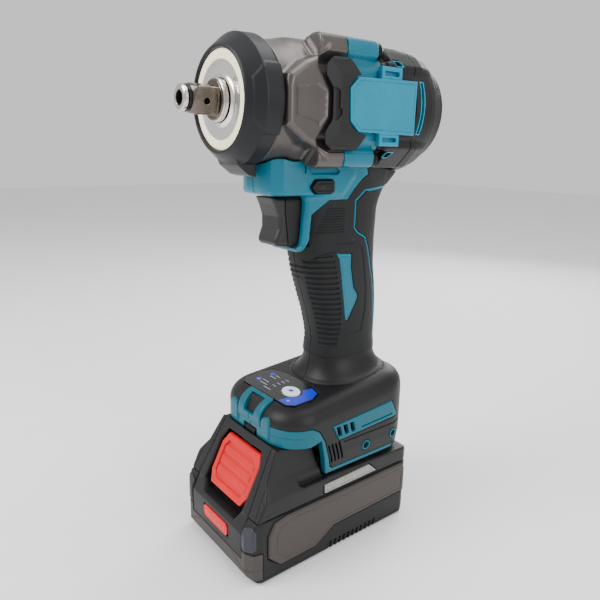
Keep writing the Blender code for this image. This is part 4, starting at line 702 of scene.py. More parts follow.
def build_grip():
    g = Grid((-0.15, -14, 107), (21.2, 66, 232), 0.34)
    base = body_field(g)
    gt = yz(g, GRIPTAIL)
    d = cap(base, gt + 0.15, 0.45)
    d = cap(d, np.where(g.y > 23.5, 35.8 - g.r_ax, 35.8 - g.r_ax + 0 * g.y).astype(f4), 0.3)
    d = less(d, cup(handle(g, -1.6), tail_field(g) + 1.6, 5.0), 0)
    d = less(d, cap(yz(g, [(-60, 175.9), (7.2, 175.9), (7.2, 203.6), (-60, 203.6)]), g.x - 10.3), 0.3)
    # grip ribs on the side, then across the front edge
    pitch = 3.15
    wave = np.abs(np.mod(g.z - 112.0, pitch) - pitch / 2)
    bar = wave - 0.62
    d = less(d, cap(cap(cap(yz(g, RIBS), bar), 6.0 - g.x), -(base + 1.0)), 0.4)
    front = cap(cap(g.y + 6.0, np.abs(g.z - 139.5) - 26.5), g.x - 7.0)
    d = less(d, cap(cap(front, bar), -(base + 0.9)), 0.35)
    # fine lines under the selector
    fine = np.abs(np.mod(g.z - 183.0, 1.42) - 0.71) - 0.26
    block = yz(g, [(0.6, 197.2), (11.2, 197.2), (11.5, 182.8), (-5.4, 182.8)])
    d = less(d, cap(cap(cap(block, fine), 10 - g.x), -(base + 0.55)), 0.12)
    # soft ridge that turns down beside the ribs
    def line(pts, w):
        out = None
        for a, b in zip(pts[:-1], pts[1:]):
            ex, ey = b[0] - a[0], b[1] - a[1]
            t = np.clip(((g.y - a[0]) * ex + (g.z - a[1]) * ey) / (ex * ex + ey * ey), 0, 1)
            q = np.sqrt((g.y - a[0] - ex * t) ** 2 + (g.z - a[1] - ey * t) ** 2)
            out = q if out is None else np.minimum(out, q)
        return out - w
    d = less(d, cap(cap(line([(7.4, 177.6), (20.5, 177.2), (25.4, 173.4), (27.6, 166), (30.5, 150), (31.0, 136), (28.5, 124), (17.0, 122.5)], 0.9), 10 - g.x), -(base + 0.55)), 0.5)
    d = less(d, cap(cap(line([(-13.8, 168.2), (-7.6, 166.2), (-2.0, 171.0), (6, 172.8)], 0.35), 8 - g.x), -(base + 0.6)), 0.3)
    d = less(d, cap(cap(line([(-10.8, 163.0), (-11.4, 148), (-9.6, 130), (-9.2, 114)], 0.4), 6 - g.x), -(base + 0.7)), 0.3)
    # grooves that hold the coloured strip and the line along the back strap
    strip = yz(g, STRIP)
    strap = yz(g, STRAP)
    d = less(d, cap(strip - 0.3, 9 - g.x), 0.2)
    d = less(d, cap(cap(np.abs(strap) - 0.85, 4 - g.x), -(base + 1.0)), 0.25)
    for tag, mir in (("left", False), ("right", True)):
        skin("grip_rubber_" + tag, g, d, "housing", "rubber", ["grip_" + tag], mirror=mir)
    inlay = cap(cap(strip, 9 - g.x), cap(base + 0.05, -(base + 1.8)), 0.25)
    inlay = less(inlay, cap(np.abs(strip + 1.3) - 0.22, -(base + 0.4)), 0.1)
    cord = cap(cap(np.abs(strap) - 0.55, 4.3 - g.x), cap(base + 0.05, -(base + 1.5)), 0.2)
    cord = cap(cord, 36.2 - g.r_ax + 0 * g.y)
    loop = cap(cap(cap(yz(g, [(27.5, 206.0), (43, 206.9), (50, 206.9), (44.5, 203.6), (41, 203.4), (30, 203.2)]), base + 0.1), -(base + 1.5)), 3 - g.x)
    both = np.minimum(np.minimum(inlay, cord), loop)
    for tag, mir in (("left", False), ("right", True)):
        skin("grip_inlays_" + tag, g, both, "housing", "teal", (), mirror=mir)


def build_trigger():
    g = Grid((-11, -33.2, 175.5), (11, 16, 204), 0.3)
    out = yz(g, [(-30.6, 203.1), (-28.0, 198.4), (-25.8, 192.5), (-25.8, 186.6), (-28.0, 181.4), (-28.3, 178.8), (-26.8, 177.0), (-22.8, 176.4), (-0.8, 176.4), (-0.8, 203.1)])
    ax = np.abs(g.x)
    d = cap(out, ax - 9.9 + np.clip(-(g.y + 24), 0, 9) * 0.12, 2.8)
    shaft = rod_y(g, 0, 189, 2.4, -2, 15, 0.3)
    rear = cap(d, -(g.y + 21.2 + np.sin((g.z - 186) * 0.12) * 1.2), 0.3)
    front = cap(d + 0.35, g.y + 21.4 + np.sin((g.z - 186) * 0.12) * 1.2, 0.3)
    front = cup(front, cap(d + 1.6, g.y + 14), 0.2)
    rear = cup(less(rear, cap(d + 2.2, g.y + 15)), shaft, 0.4)
    skin("trigger_side", g, rear, "trigger", "armor", ["trigger"])
    skin("trigger_pad", g, front, "trigger", "trigger", ())
    g = Grid((-21.2, -14, 204.2), (21.2, 2.4, 212.4), 0.28)
    s = yz(g, [(-13.2, 208.2), (-10.2, 211.6), (0.6, 211.6), (1.6, 210.6), (1.6, 206.0), (0.6, 205.0), (-10.2, 205.0)])
    ax = np.abs(g.x)
    d = cap(s, ax - 20.8, 0.5)
    d = less(d, cap(cap(s + 1.3, 20.3 - ax), -(s + 1.7)), 0.12)
    arrow = yz(g, [(-8.6, 206.8), (-5.6, 209.6), (-2.6, 206.8), (-3.8, 206.8), (-5.6, 208.2), (-7.4, 206.8)])
    d = cup(d, cap(arrow, ax - 21.05), 0.1)
    skin("direction_slide_bar", g, d, "direction_selector", "black", ["direction_selector"])


# -------------------------------------------------------------------- foot
BAND = [(-60, 81.2), (-21.6, 81.2), (-17.0, 78.2), (-13.0, 71.2), (-8.4, 54.2), (-6.8, 52.5), (42.5, 52.5), (42.5, 40), (-60, 40)]


def build_foot():
    g = Grid((-0.15, -41.2, 49.6), (37.2, 59.4, 118), 0.36)
    base = foot_field(g)
    col = collar_field(g)
    full = cup(base, col, 2.2)
    step = yz(g, [(-60, 45), (-60, 70.8), (-22.5, 70.8), (-15.5, 72.6), (-11, 49.5), (-11, 45)])
    under = np.minimum(cap(ax_box(g, (-24.7, -45, 45), (24.7, 48.5, 54.0)), 0 * g.x - 99),
                       ax_box(g, (-27.9, -45, 52.4), (27.9, -2, 58.6)))
    hook = ax_box(g, (-6.5, -60, 69), (6.5, -34.6, 74.9))
    band = yz(g, BAND)
    floor = -(g.z - 50.0)
    # black overmould
    black = less(full, band - 0.28 + 0 * g.x, 0.35)
    black = less(black, cup(foot_field(g, -1.7), handle(g, -2.0), 3), 0)
    ax = np.abs(g.x)
    strip = yz(g, [(-7.8, 78.8), (38.7, 82.2), (44.6, 71.4), (-2.5, 69.0)])
    black = less(black, cap(strip - 0.25, 30 - ax), 0.25)
    # a low pad round the strip and the screws, with a crease above it
    for y, z in ((18.8, 59.1), (41.7, 59.7)):
        black = less(black, rod_x(g, y, z, 3.35, 30, 40), 0.3)
    for k in range(5):
        y0 = -13.6 + k * 2.6
        rib = yz(g, [(y0, 68.2), (y0 + 1.1, 68.2), (y0 + 4.4, 56.6), (y0 + 3.3, 56.6)])
        black = less(black, cap(rib, 34.2 - ax), 0.3)
    black = less(black, cap(cap(np.abs(g.z - 67.0 + 0.0 * g.y) - 0.35, -(g.y - 1.0)), cap(-(base + 0.6), 20 - ax)), 0.25)
    # tilted pocket of the display
    tz = g.z - 0.09 * g.y
    pan = xy(g, [(-21, -29.8), (21, -29.8), (25.3, -26.2), (26.4, -14), (22.8, -7.2), (12.1, -4.1), (-12.1, -4.1), (-22.8, -7.2), (-26.4, -14), (-25.3, -26.2)])
    black = less(black, cap(pan, 93.2 - tz), 0.25)
    well = cap(np.sqrt(((g.x - 10) / 1.37) ** 2 + (g.y + 17.5) ** 2) - 5.2, 92.2 - tz)
    black = less(black, well, 0.2)
    black = less(black, cap(cap(np.abs(col - 1.0) - 0.3, 88 - g.z), -(full + 0.7)), 0.2)
    # front bracket seat
    brk = xz(g, [(-40, 79), (11.6, 79), (11.6, 94.8), (9.8, 96.2), (-40, 96.2)])
    black = less(black, cap(brk, g.y + 30.0), 0.3)
    black = cap(black, np.maximum(-(step - 0.0), -99) + 0 * g.x, 0)
    black = less(black, under, 0.2)
    black = cap(black, floor, 0.3)
    for tag, mir in (("left", False), ("right", True)):
        skin("foot_cover_" + tag, g, black, "housing", "black", (), mirror=mir)
    # coloured core: front band, thin line along the bottom, side strip
    core = cap(full, band, 0.4)
    core = cup(core, cap(foot_field(g, -1.75), band - 3.0), 0.2)
    core = less(core, foot_field(g, -4.2), 0)
    core = less(core, cap(cap(np.abs(yz(g, [(-60, 76.6), (-23.0, 76.6), (-19.4, 74.5), (-10.6, 52.0), (-60, 52.0)])) - 0.22, 20 - ax), -(base + 0.3)), 0.12)
    bracket = cap(xz(g, [(-11.2, 78), (11.2, 78), (11.2, 93.6), (9.2, 95.0), (-9.2, 95.0), (-11.2, 93.6)]), foot_field(g, 1.1), 0.8)
    bracket = cap(bracket, g.y + 30.4, 0.4)
    recess = xz(g, [(-6.4, 91.6), (6.4, 91.6), (4.6, 82.6), (-4.6, 82.6)])
    bracket = less(bracket, cap(recess, -(base + 1.9)), 0.4)
    core = less(core, cap(recess, -(base + 1.9)), 0.3)
    core = cup(core, bracket, 0.6)
    for x0 in (15.5,):
        lug = cap(xz(g, [(x0 - 3.6, 73.4), (x0 + 3.6, 73.4), (x0 + 4.0, 83.6), (x0 + 1.6, 86.0), (x0 - 2.6, 84.6), (x0 - 3.6, 82.6)]), foot_field(g, 1.0), 0.8)
        lug = cap(lug, g.y + 29.0, 0.3)
        core = cup(core, lug, 0.5)
    core = cap(core, -step + 0 * g.x, 0.2)
    core = less(core, under, 0.2)
    core = less(core, hook, 0.2)
    core = cap(core, floor, 0.3)
    side = cap(cap(strip, 30 - ax, 0.0), foot_field(g, 0.2), 0.3)
    side = less(side, foot_field(g, -2.4), 0)
    for k in range(3):
        y0 = -4.9 + k * 5.0
        side = less(side, cap(yz(g, [(y0, 77.4), (y0 + 2.7, 77.6), (y0 + 4.4, 71.6), (y0 + 1.7, 71.4)]), 30 - ax), 0.2)
    side = less(side, cap(cap(yz(g, [(14.5, 72.0), (40.0, 73.2), (40.0, 73.9), (14.5, 72.7)]), 30 - ax), -(base + 0.8)), 0.1)
    core = np.minimum(core, side)
    for tag, mir in (("left", False), ("right", True)):
        skin("foot_core_" + tag, g, core, "housing", "teal_foot", (), mirror=mir)
    # dark floor of the bracket recess
    gg = Grid((-8, -41, 81), (8, -33, 96), 0.3)
    f = foot_field(gg)
    dk = cap(xz(gg, [(-6.5, 91.7), (6.5, 91.7), (4.7, 82.5), (-4.7, 82.5)]), np.abs(f + 1.7 - np.clip(gg.z - 87, 0, 4) * 0.35) - 0.9)
    dk = cap(dk, gg.y + 33.0, 0.2)
    skin("bracket_insert", gg, dk, "housing", "black", ())
    # screws with coloured rings, on the left half
    for k, (y, z) in enumerate(((18.8, 59.1), (41.7, 59.7))):
        gg = Grid((27.5, y - 4.2, z - 4.2), (37, y + 4.2, z + 4.2), 0.18)
        ff = foot_field(gg)
        rr = np.sqrt((gg.y - y) ** 2 + (gg.z - z) ** 2)
        ring = cap(cap(rr - 3.1, 2.1 - rr), cap(ff - 0.35, -(ff + 4.0)), 0.25)
        skin(f"screw_ring_{k + 1}", gg, ring, "housing", "teal_foot", ())
        skin(f"screw_ring_{k + 1}_right", gg, ring, "housing", "teal_foot", (), mirror=True)
        sc = cap(rr - 2.5 + np.where(gg.x < 32.7, 1.1, 0).astype(f4), np.abs(gg.x - 31.4) - 2.9, 0.3)
        hexr = cap(np.maximum(np.abs(gg.y - y), np.maximum(np.abs((gg.y - y) * 0.5 + (gg.z - z) * 0.866), np.abs((gg.y - y) * 0.5 - (gg.z - z) * 0.866))) - 1.15, 33.3 - gg.x)
        skin(f"foot_bolt_{k + 1}", gg, less(sc, hexr, 0.1), "housing", "screw", [f"foot_screw_{k + 1}"])


def plate(name, pts, z0, z1, mat, body="housing", nodes=(), bevel=0.15, slope=0.09, top=94.4, sub=1):
    """A flat outline in the sloping top of the foot, between two heights over it."""
    bm = bmesh.new()
    lowv = [bm.verts.new((x * MM, y * MM, (top + slope * y + z0) * MM)) for x, y in pts]
    upv = [bm.verts.new((x * MM, y * MM, (top + slope * y + z1) * MM)) for x, y in pts]
    n = len(pts)
    bm.faces.new(lowv[::-1]); bm.faces.new(upv)
    for i in range(n):
        bm.faces.new((lowv[i], lowv[(i + 1) % n], upv[(i + 1) % n], upv[i]))
    bmesh.ops.recalc_face_normals(bm, faces=bm.faces)
    me = bpy.data.meshes.new(name)
    bm.to_mesh(me); bm.free()
    me.shade_smooth()
    obj = place(name, me, body, mat, nodes)
    me.set_sharp_from_angle(angle=math.radians(35))
    if bevel:
        b = obj.modifiers.new("edge", "BEVEL"); b.width = bevel * MM; b.segments = 3; b.limit_method = "ANGLE"
        b.angle_limit = math.radians(30)
    return obj


def oval(cx, cy, a, b, n=48, p=2.0, tilt=0.0):
    out = []
    for i in range(n):
        t = math.tau * i / n
        c, s = math.cos(t), math.sin(t)
        x = a * math.copysign(abs(c) ** (2 / p), c); y = b * math.copysign(abs(s) ** (2 / p), s)
        out.append((cx + x * math.cos(tilt) - y * math.sin(tilt), cy + x * math.sin(tilt) + y * math.cos(tilt)))
    return out


def build_panel():
    pts = [(-20.8, -29.4), (20.8, -29.4), (24.8, -25.9), (25.9, -14), (22.4, -7.6), (12, -4.5), (-12, -4.5), (-22.4, -7.6), (-25.9, -14), (-24.8, -25.9)]
    hole = oval(10, -17.5, 6.7, 5.0, 40)
    bm = bmesh.new()
    rows = []
    for zz in (-0.85, 0.2):
        o = [bm.verts.new((x * MM, y * MM, (94.4 + 0.09 * y + zz) * MM)) for x, y in pts]
        i = [bm.verts.new((x * MM, y * MM, (94.4 + 0.09 * y + zz) * MM)) for x, y in hole]
        eo = [bm.edges.new((o[k], o[(k + 1) % len(o)])) for k in range(len(o))]
        ei = [bm.edges.new((i[k], i[(k + 1) % len(i)])) for k in range(len(i))]
        bmesh.ops.triangle_fill(bm, edges=eo + ei, use_beauty=True)
        rows.append((o, i))
    for part in (0, 1):
        a, b = rows[0][part], rows[1][part]
        for k in range(len(a)):
            bm.faces.new((a[k], a[(k + 1) % len(a)], b[(k + 1) % len(a)], b[k]))
    bmesh.ops.recalc_face_normals(bm, faces=bm.faces)
    me = bpy.data.meshes.new("display_film"); bm.to_mesh(me); bm.free()
    obj = place("display_film", me, "housing", "panel", ["display_panel"])
    b = obj.modifiers.new("edge", "BEVEL"); b.width = 0.18 * MM; b.segments = 2; b.limit_method = "ANGLE"; b.angle_limit = math.radians(40)
    blue = [(13.0, -28.7), (20.4, -28.7), (24.1, -25.5), (25.2, -14.1), (22.0, -8.2), (15.2, -6.3)] 
    arc = [(10 + 7.7 * math.cos(t), -17.5 + 6.0 * math.sin(t)) for t in [math.radians(a) for a in range(64, -66, -10)]]
    plate("display_blue_field", blue + arc, 0.12, 0.27, "blue", bevel=0.05)
    plate("display_icon_1", oval(-16.5, -11.6, 1.9, 1.6, 32), 0.12, 0.27, "blue", bevel=0.04)
    plate("display_icon_2", oval(-17.4, -21.2, 2.1, 1.8, 32), 0.12, 0.27, "blue", bevel=0.04)
    plate("display_icon_3", oval(-17.4, -21.2, 0.8, 0.7, 24), 0.2, 0.31, "print", bevel=0.02)
    plate("display_icon_4", oval(17.5, -25.2, 1.0, 0.9, 24), 0.2, 0.33, "print", bevel=0.02)
    k = 0
    for x, y, w in ((-11.5, -11.4, 4.0), (-12.6, -14.0, 5.5), (-12.2, -19.6, 6.0), (-10.6, -22.4, 7.2), (-2.6, -10.8, 3.2), (-3.0, -13.6, 3.2), (-3.2, -16.6, 3.2), (-3.2, -20.0, 3.0), (-3.6, -24.6, 7.0)):
        k += 1
        plate(f"display_mark_{k}", [(x - w / 2, y - 0.28), (x + w / 2, y - 0.28), (x + w / 2, y + 0.28), (x - w / 2, y + 0.28)], 0.12, 0.25, "print", bevel=0)
    plate("mode_key", oval(10, -17.5, 6.3, 4.6, 64), -1.1, 1.0, "white", body="mode_button", nodes=["mode_button"], bevel=0.45)
    plate("mode_key_dot", oval(10, -17.5, 1.7, 1.3, 32), 0.9, 1.06, "blue", body="mode_button", bevel=0.05)


# ----------------------------------------------------------------- battery
def pack_plan(g, grow=0.0):
    ax = np.abs(g.x)
    p = poly(g.x, g.y, [(-36.4, -54.8), (-35.2, -60.0), (-30.5, -62.6), (30.5, -62.6), (35.2, -60.0), (36.4, -54.8), (36.4, 52), (34.4, 55.4), (30.9, 56.8), (-30.9, 56.8), (-34.4, 55.4), (-36.4, 52)])
    return p - grow


def slope_face(g, out=0.0):
    """The face of the tower that leans back over the latch."""
    return -0.8856 * (g.y + 62.75) + 0.4646 * (g.z - 29.0) - out


def build_battery():
    g = Grid((-37.8, -64.0, -0.5), (37.8, 57.6, 38.6), 0.42)
    ax = np.abs(g.x)
    plan = pack_plan(g)
    d = cap(plan, np.abs(g.z - 18.7) - 18.7, 1.3)
    d = cap(d, (plan - g.z * 0.55 + 0.9), 0.4)                       # drawn-in foot
    # skirt stands proud below the side panels
    seat = yz(g, [(-51.8, 14.2), (-51.8, 28.3), (-47.9, 35.0), (-39.2, 36.7), (51.3, 36.9), (53.9, 33.2), (53.9, 15.9), (-4.4, 15.1), (-18.8, 6.9), (-43.0, 6.7)])
    d = less(d, cap(seat, 35.3 - ax), 0.3)
    for k in range(11):
        y0 = -8.5 + 3.5 * k
        d = less(d, cap(cap(yz(g, [(y0, -1), (y0 + 1.5, -1), (y0 + 2.6, 5.2), (y0 + 1.1, 5.2)]), 34.6 - ax), 0 * g.z - 99), 0.3)
    d = less(d, ax_box(g, (-33.4, -52.0, 2.2), (33.4, 54.2, 60), 0.5), 0.3)
    d = less(d, cap(ax - 27.3, cap(g.y + 50.0, 13.7 - g.z)), 0.2)
    d = less(d, cap(cap(pack_plan(g, 1.0), -pack_plan(g, -0.85)), cap(np.abs(g.z - 11.2) - 8.2, g.y + 54.6)), 0.2)
    d = cap(d, slope_face(g), 0.5)
    d = cap(d, -0.586 * (g.y + 62.6) - 0.81 * (g.z - 5.0) + 0 * g.x, 0.4)
    d = less(d, cap(np.abs(g.z - 2.6) - 0.3, -(plan + 0.6)), 0.15)
    skin("pack_lower_shell", g, d, "battery", "shell", ["battery_lower_case"])
    # warm grey front band below the frame
    g2 = Grid((-38, -64.4, 2), (38, -53.4, 21), 0.3)
    ax2 = np.abs(g2.x)
    pl = pack_plan(g2)
    b = cap(cap(pl - 0.25, -(pl + 0.6)), np.abs(g2.z - 11.2) - 7.9, 0.3)
    b = cap(b, g2.y + 54.9, 0.3)
    b = cap(b, -0.586 * (g2.y + 62.6) - 0.81 * (g2.z - 6.2) + 0 * g2.x, 0.3)
    b = less(b, cap(ax2 - 27.2, 13.9 - g2.z), 0.2)
    tri = np.abs(poly(ax2, g2.z, [(16, 13.8), (26, 9.5), (44, 9.5), (44, 30), (16, 30)])) - 0.2
    b = less(b, cap(tri, -(pl + 0.1)), 0.1)
    skin("pack_front_band", g2, b, "battery", "grey", ())
    # side panels
    g3 = Grid((34.9, -52.6, 6), (38, 54.6, 38), 0.26)
    panel = [(-51.4, 14.6), (-51.3, 28.0), (-47.6, 34.5), (-39.0, 36.2), (50.9, 36.4), (53.4, 32.9), (53.4, 16.4), (-5.4, 15.6), (-19.2, 7.4), (-43.6, 7.2)]
    s = yz(g3, panel)
    d = cap(s, g3.x - 37.45, 0.3)
    d = cap(d, (s + (g3.x - 36.35) * 0.9) / 1.35, 0.3)
    inner = yz(g3, [(-46.4, 16.2), (-46.2, 27.2), (-41.6, 32.4), (-36.6, 33.4), (47.0, 33.6), (49.6, 31.0), (49.8, 19.4), (-6.5, 18.4), (-20.6, 10.4), (-40.4, 10.2)])
    d = less(d, cap(np.abs(inner) - 0.2, 37.15 - g3.x), 0.1)
    d = cap(d, 35.55 - g3.x + 0 * g3.z, 0.1)
    for tag, mir in (("left", False), ("right", True)):
        skin("pack_side_" + tag, g3, d, "battery", "grey", ["battery_side_panel_" + tag], mirror=mir, adapt=0.003)

    # upper case: sloped tower, shoulders, rails
    g = Grid((-37.6, -64.0, 13.5), (37.6, 57.6, 72), 0.42)
    ax = np.abs(g.x)
    prof = yz(g, [(-62.7, 29.0), (-40.7, 71.0), (-39.9, 71.2), (-39.2, 70.4), (-16.8, 70.3), (-12.2, 49.8), (-11.4, 48.4),
                  (54.0, 46.8), (56.8, 43.5), (56.8, 37.7), (-54.0, 37.7), (-54.0, 29.0)])
    front = xz(g, [(-36.9, 37.0), (36.9, 37.0), (36.9, 47.2), (35.2, 49.6), (30.8, 55.8), (27.0, 73.0), (-27.0, 73.0), (-30.8, 55.8), (-35.2, 49.6), (-36.9, 47.2)])
    plan = pack_plan(g)
    body = cap(cap(prof, front, 1.4), plan, 1.0)
    d = body
    # side steps of the shoulder
    sh = yz(g, [(-29.6, 80), (-29.6, 49.4), (-26.4, 47.9), (-10, 47.9), (-10, 80)])
    d = less(d, cap(sh, 32.4 - ax), 0.5)
    apron = cap(cap(cap(yz(g, [(-62.6, 14.0), (-62.6, 29.0), (-57.4, 39.0), (-54.0, 39.0), (-54.0, 14.0)]), ax - 27.0, 0.6), plan), slope_face(g), 0.6)
    d = cup(d, apron, 0.6)
    d = cup(d, ax_box(g, (-24.3, -12.0, 46), (24.3, 20.6, 54), 0.3), 0)
    d = cup(d, ax_box(g, (-27.5, -11.6, 52.9), (27.5, 20.6, 58.2), 0.5), 0)
    d = less(d, ax_box(g, (-33.4, -43.4, 10), (33.4, 54.2, 40.9)), 0.3)
    d = less(d, ax_box(g, (-30, -33.6, 38), (30, 54.2, 45)), 0.3)
    rec = xz(g, [(-20.3, 59.5), (-16.8, 66.6), (16.8, 66.6), (20.3, 59.5), (20.3, 37.6), (16.8, 31.5), (-16.8, 31.5), (-20.3, 37.6)])
    d = cup(d, ax_box(g, (-26, -54.3, 24), (26, -44.6, 38.5)), 0.2)
    rp = yz(g, [(-80, 31.5), (-47, 31.5), (-45.6, 39.3), (-43.0, 42.6), (-35, 42.6), (-35, 68.4), (-80, 68.4)])
    d = less(d, cap(rec, rp, 0.3), 0.9)
    d = less(d, ax_box(g, (-5.5, -40.2, 66), (5.5, -35, 75)), 0.3)
    d = less(d, ax_box(g, (-13.3, -70, 18.7), (13.3, -61.4, 26.8), 0.5), 0.3)
    for x in (-16, 16):
        d = less(d, ax_box(g, (x - 1, 8, 53.2), (x + 1, 25, 60)), 0.2)
    win = yz(g, [(-13.3, 38.9), (-13.5, 45.2), (21.8, 46.2), (28.6, 39.4)])
    d = less(d, cap(win, 35.0 - ax), 0.3)
    # frame lines down the front corners
    d = less(d, cap(cap(np.abs(ax - 24.6 - np.clip(62 - g.z, -9, 30) * 0.10) - 0.35, g.y + 40.0), cap(-(slope_face(g) + 0.7), 33 - g.z)), 0.2)
    d = less(d, cap(cap(np.abs(ax - 30.6 - np.clip(62 - g.z, -9, 30) * 0.12) - 0.3, g.y + 40.0), cap(-(slope_face(g) + 0.5), 36 - g.z)), 0.2)
    d = cap(d, 37.7 - g.z - np.where((g.y < -44.3) & (ax < 27.1), 24.0, 0).astype(f4), 0.2)
    skin("pack_upper_shell", g, d, "battery", "frame", ["battery_upper_case"])
    # rounded bumpers on the front corners
    for tag, mir in (("left", False), ("right", True)):
        gg = Grid((22, -64.6, 12), (37.6, -52, 38), 0.28)
        p = pack_plan(gg)
        bump = cap(cap(p - 0.55, -(p + 2.2)), cap(np.abs(gg.x - 31.6) - 4.0, np.abs(gg.z - 28.0) - 7.2, 2.4), 0.8)
        bump = cap(bump, slope_face(gg, 0.6), 0.6)
        skin("pack_bumper_" + tag, gg, bump, "battery", "bumper", (), mirror=mir)
    g4 = Grid((34.8, -14, 38.4), (37.5, 29, 46.6), 0.22)
    w = yz(g4, [(-12.8, 39.4), (-13.0, 44.7), (21.5, 45.7), (27.8, 39.8)])
    d = cap(w, g4.x - 36.9, 0.3)
    d = less(d, cap(w + 1.1, 36.5 - g4.x), 0.15)
    d = cap(d, 35.3 - g4.x + 0 * g4.z)
    rim = cap(cap(w - 1.5, -(w - 0.35)), g4.x - 36.95, 0.2)
    for tag, mir in (("left", False), ("right", True)):
        skin("pack_window_" + tag, g4, d, "battery", "window", ["battery_window_" + tag], mirror=mir)
    g5 = Grid((-13.6, -63.8, 18.4), (13.6, -61.2, 27.2), 0.2)
    bd = cap(xz(g5, [(-13, 21.0), (-13, 24.8), (-11.3, 26.5), (11.3, 26.5), (13, 24.8), (13, 21), (11.3, 19), (-11.3, 19)]), np.abs(g5.y + 62.45) - 0.75, 0.35)
    bd = less(bd, cap(np.abs(xz(g5, [(-11.6, 21.4), (-11.6, 24.4), (-10.6, 25.2), (10.6, 25.2), (11.6, 24.4), (11.6, 21.4), (10.6, 20.3), (-10.6, 20.3)])) - 0.18, g5.y + 62.95), 0.08)
    for k in range(3):
        bd = cup(bd, ax_box(g5, (-7.6 + 5.6 * k, -63.42, 21.6), (-3.6 + 5.6 * k, -62.4, 23.9), 0.25), 0.1)
    skin("pack_badge", g5, bd, "battery", "red", ["battery_badge"])
    # red latch: a framed plate with three ridges
    g6 = Grid((-20, -58.0, 36), (20, -40, 67), 0.27)
    lp = yz(g6, [(-56.9, 36.8), (-48.2, 36.8), (-46.5, 44.8), (-40.7, 50.0), (-40.7, 66.0), (-42.3, 66.0)])
    ax6 = np.abs(g6.x)
    out = xz(g6, [(-19.5, 58.6), (-16.2, 64.2), (16.2, 64.2), (19.5, 58.6), (19.5, 43.0), (15.6, 36.8), (-15.6, 36.8), (-19.5, 43.0)])
    d = cap(lp, out, 0.9)
    n = (g6.y + 56.9) * 0.894 - (g6.z - 36.8) * 0.447               # depth behind the sloped face
    dish = xz(g6, [(-15.8, 57.2), (-13.4, 60.8), (13.4, 60.8), (15.8, 57.2), (15.8, 43.6), (13.2, 40.4), (-13.2, 40.4), (-15.8, 43.6)])
    d = less(d, cap(dish, n - 1.5), 0.5)
    for zz in (45.0, 50.6, 56.2):
        ridge = cap(cap(dish + 0.7, np.abs(g6.z - zz) - 1.7 - np.clip(n - 0.6, 0, 9) * 0.5), np.abs(n - 2.0) - 1.5, 0.25)
        d = cup(d, cap(ridge, lp - 0.2), 0.25)
    skin("release_latch", g6, d, "latch", "red", ["latch_button"])
    g7 = Grid((-6, -42, 55), (6, -34.6, 75), 0.3)
    arm = ax_box(g7, (-5, -41.0, 56), (5, -35.5, 65), 0.6)
    tip = cap(ax_box(g7, (-5, -39.2, 60), (5, -35.5, 74.0), 0.5), (g7.z - 73.9) * 0.8 - (g7.y + 38.0) * 0.6, 0.3)
    skin("latch_hook", g7, cup(arm, tip, 0.4), "latch", "dark", ())


# ------------------------------------------------------- pieces left as they are
CARRY = {
    "anvil_bush": "bronze", "spindle": "dark_steel", "hammer": "dark_steel", "hammer_spring": "steel", "cam_ball_1": "bright",
    "cam_ball_2": "bright", "planet_gear_1": "steel", "planet_gear_2": "steel", "planet_gear_3": "steel", "planet_pin_1": "bright",
    "planet_pin_2": "bright", "planet_pin_3": "bright", "ring_gear": "dark_steel", "motor_bracket": "gun", "front_bearing": "steel",
    "rear_bearing": "steel", "rotor_shaft": "steel", "rotor_core": "lam", "fan": "black", "stator": "lam", "hall_board": "board",
    "switch_body": "black", "controller_board": "board", "terminal_block": "shell", "cell_pack": "cell", "battery_board": "board",
    "latch_spring": "steel",
}


def carry_over():
    for node, mat in CARRY.items():
        obj = NODES[node]
        if not obj.material_slots:
            obj.data.materials.append(M[mat])
        for s in obj.material_slots:
            s.material = M[mat]


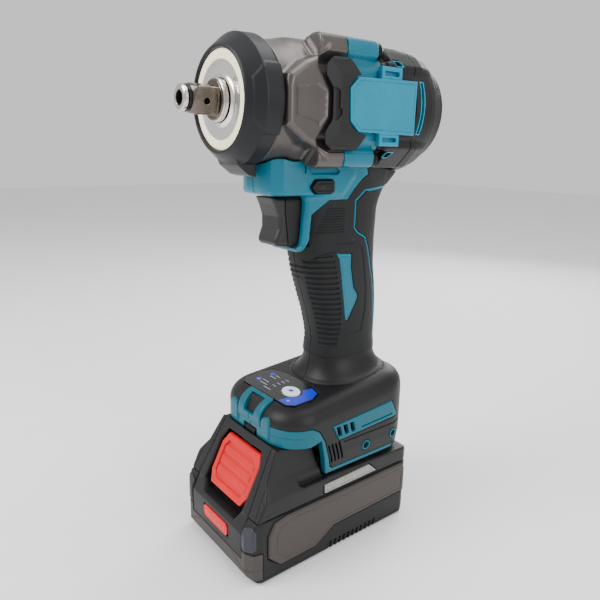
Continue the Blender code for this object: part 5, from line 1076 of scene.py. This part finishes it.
# ----------------------------------------------------------- camera and stage
def build_stage():
    cam_data = bpy.data.cameras.new("camera")
    cam_data.sensor_width = 36
    cam_data.lens = 34.37
    cam_data.clip_start = 0.01
    cam = bpy.data.objects.new("camera", cam_data)
    SCENE.collection.objects.link(cam)
    a, e, r = math.radians(51.92), math.radians(14.95), math.radians(0.98)
    look_v = Vector((-math.sin(a) * math.cos(e), math.cos(a) * math.cos(e), -math.sin(e)))
    right = Vector((math.cos(a), math.sin(a), 0))
    up = right.cross(look_v)
    rr = right * math.cos(r) + up * math.sin(r)
    uu = -right * math.sin(r) + up * math.cos(r)
    cam.matrix_world = Matrix(((rr.x, uu.x, -look_v.x, 0.25071), (rr.y, uu.y, -look_v.y, -0.20075), (rr.z, uu.z, -look_v.z, 0.22811), (0, 0, 0, 1)))
    SCENE.camera = cam

    me = bpy.data.meshes.new("floor")
    # a floor that curves up behind into a soft backdrop is kept flat and wide
    bm = bmesh.new()
    bmesh.ops.create_grid(bm, x_segments=8, y_segments=8, size=3.0)
    bm.to_mesh(me); bm.free()
    floor = bpy.data.objects.new("floor", me)
    floor.location.z = -0.0002
    SCENE.collection.objects.link(floor)
    m, nt, p = principled("floor_paper")
    noise = nt.nodes.new("ShaderNodeTexNoise"); noise.inputs["Scale"].default_value = 30
    ramp = nt.nodes.new("ShaderNodeValToRGB")
    ramp.color_ramp.elements[0].color = (0.86, 0.86, 0.86, 1); ramp.color_ramp.elements[1].color = (0.9, 0.9, 0.9, 1)
    tc = nt.nodes.new("ShaderNodeTexCoord")
    nt.links.new(tc.outputs["Object"], noise.inputs["Vector"])
    nt.links.new(noise.outputs["Fac"], ramp.inputs["Fac"]); nt.links.new(ramp.outputs["Color"], p.inputs["Base Color"])
    p.inputs["Roughness"].default_value = 0.9
    me.materials.append(m)

    world = SCENE.world or bpy.data.worlds.new("world")
    SCENE.world = world
    world.use_nodes = True
    bg = world.node_tree.nodes["Background"]
    bg.inputs["Color"].default_value = (1, 1, 1, 1)
    bg.inputs["Strength"].default_value = 0.85

    def area(name, loc, target, size, power, colour=(1, 1, 1), shape="RECTANGLE", size_y=None):
        ld = bpy.data.lights.new(name, "AREA")
        ld.energy = power; ld.size = size; ld.color = colour; ld.shape = shape
        ld.size_y = size_y or size
        lo = bpy.data.objects.new(name, ld)
        SCENE.collection.objects.link(lo)
        v = Vector(target) - Vector(loc)
        lo.rotation_mode = "QUATERNION"
        lo.rotation_quaternion = v.to_track_quat("-Z", "Y")
        lo.location = loc
    area("key", (-0.25, -0.75, 0.75), (0, 0, 0.17), 0.45, 9.0, size_y=0.55)
    area("side", (0.95, 0.1, 0.55), (0, 0.02, 0.17), 0.5, 5.0, size_y=0.7)
    area("top", (0.05, 0.2, 1.0), (0, 0, 0.1), 0.6, 6.0)
    area("rim", (-0.4, 0.8, 0.5), (0, 0, 0.2), 0.4, 4.0)


build_stage()
build_anvil()
build_nose()
build_gear_case()
build_plates()
build_rear()
build_screws()
build_housing()
build_grip()
build_trigger()
build_foot()
build_panel()
build_battery()
carry_over()
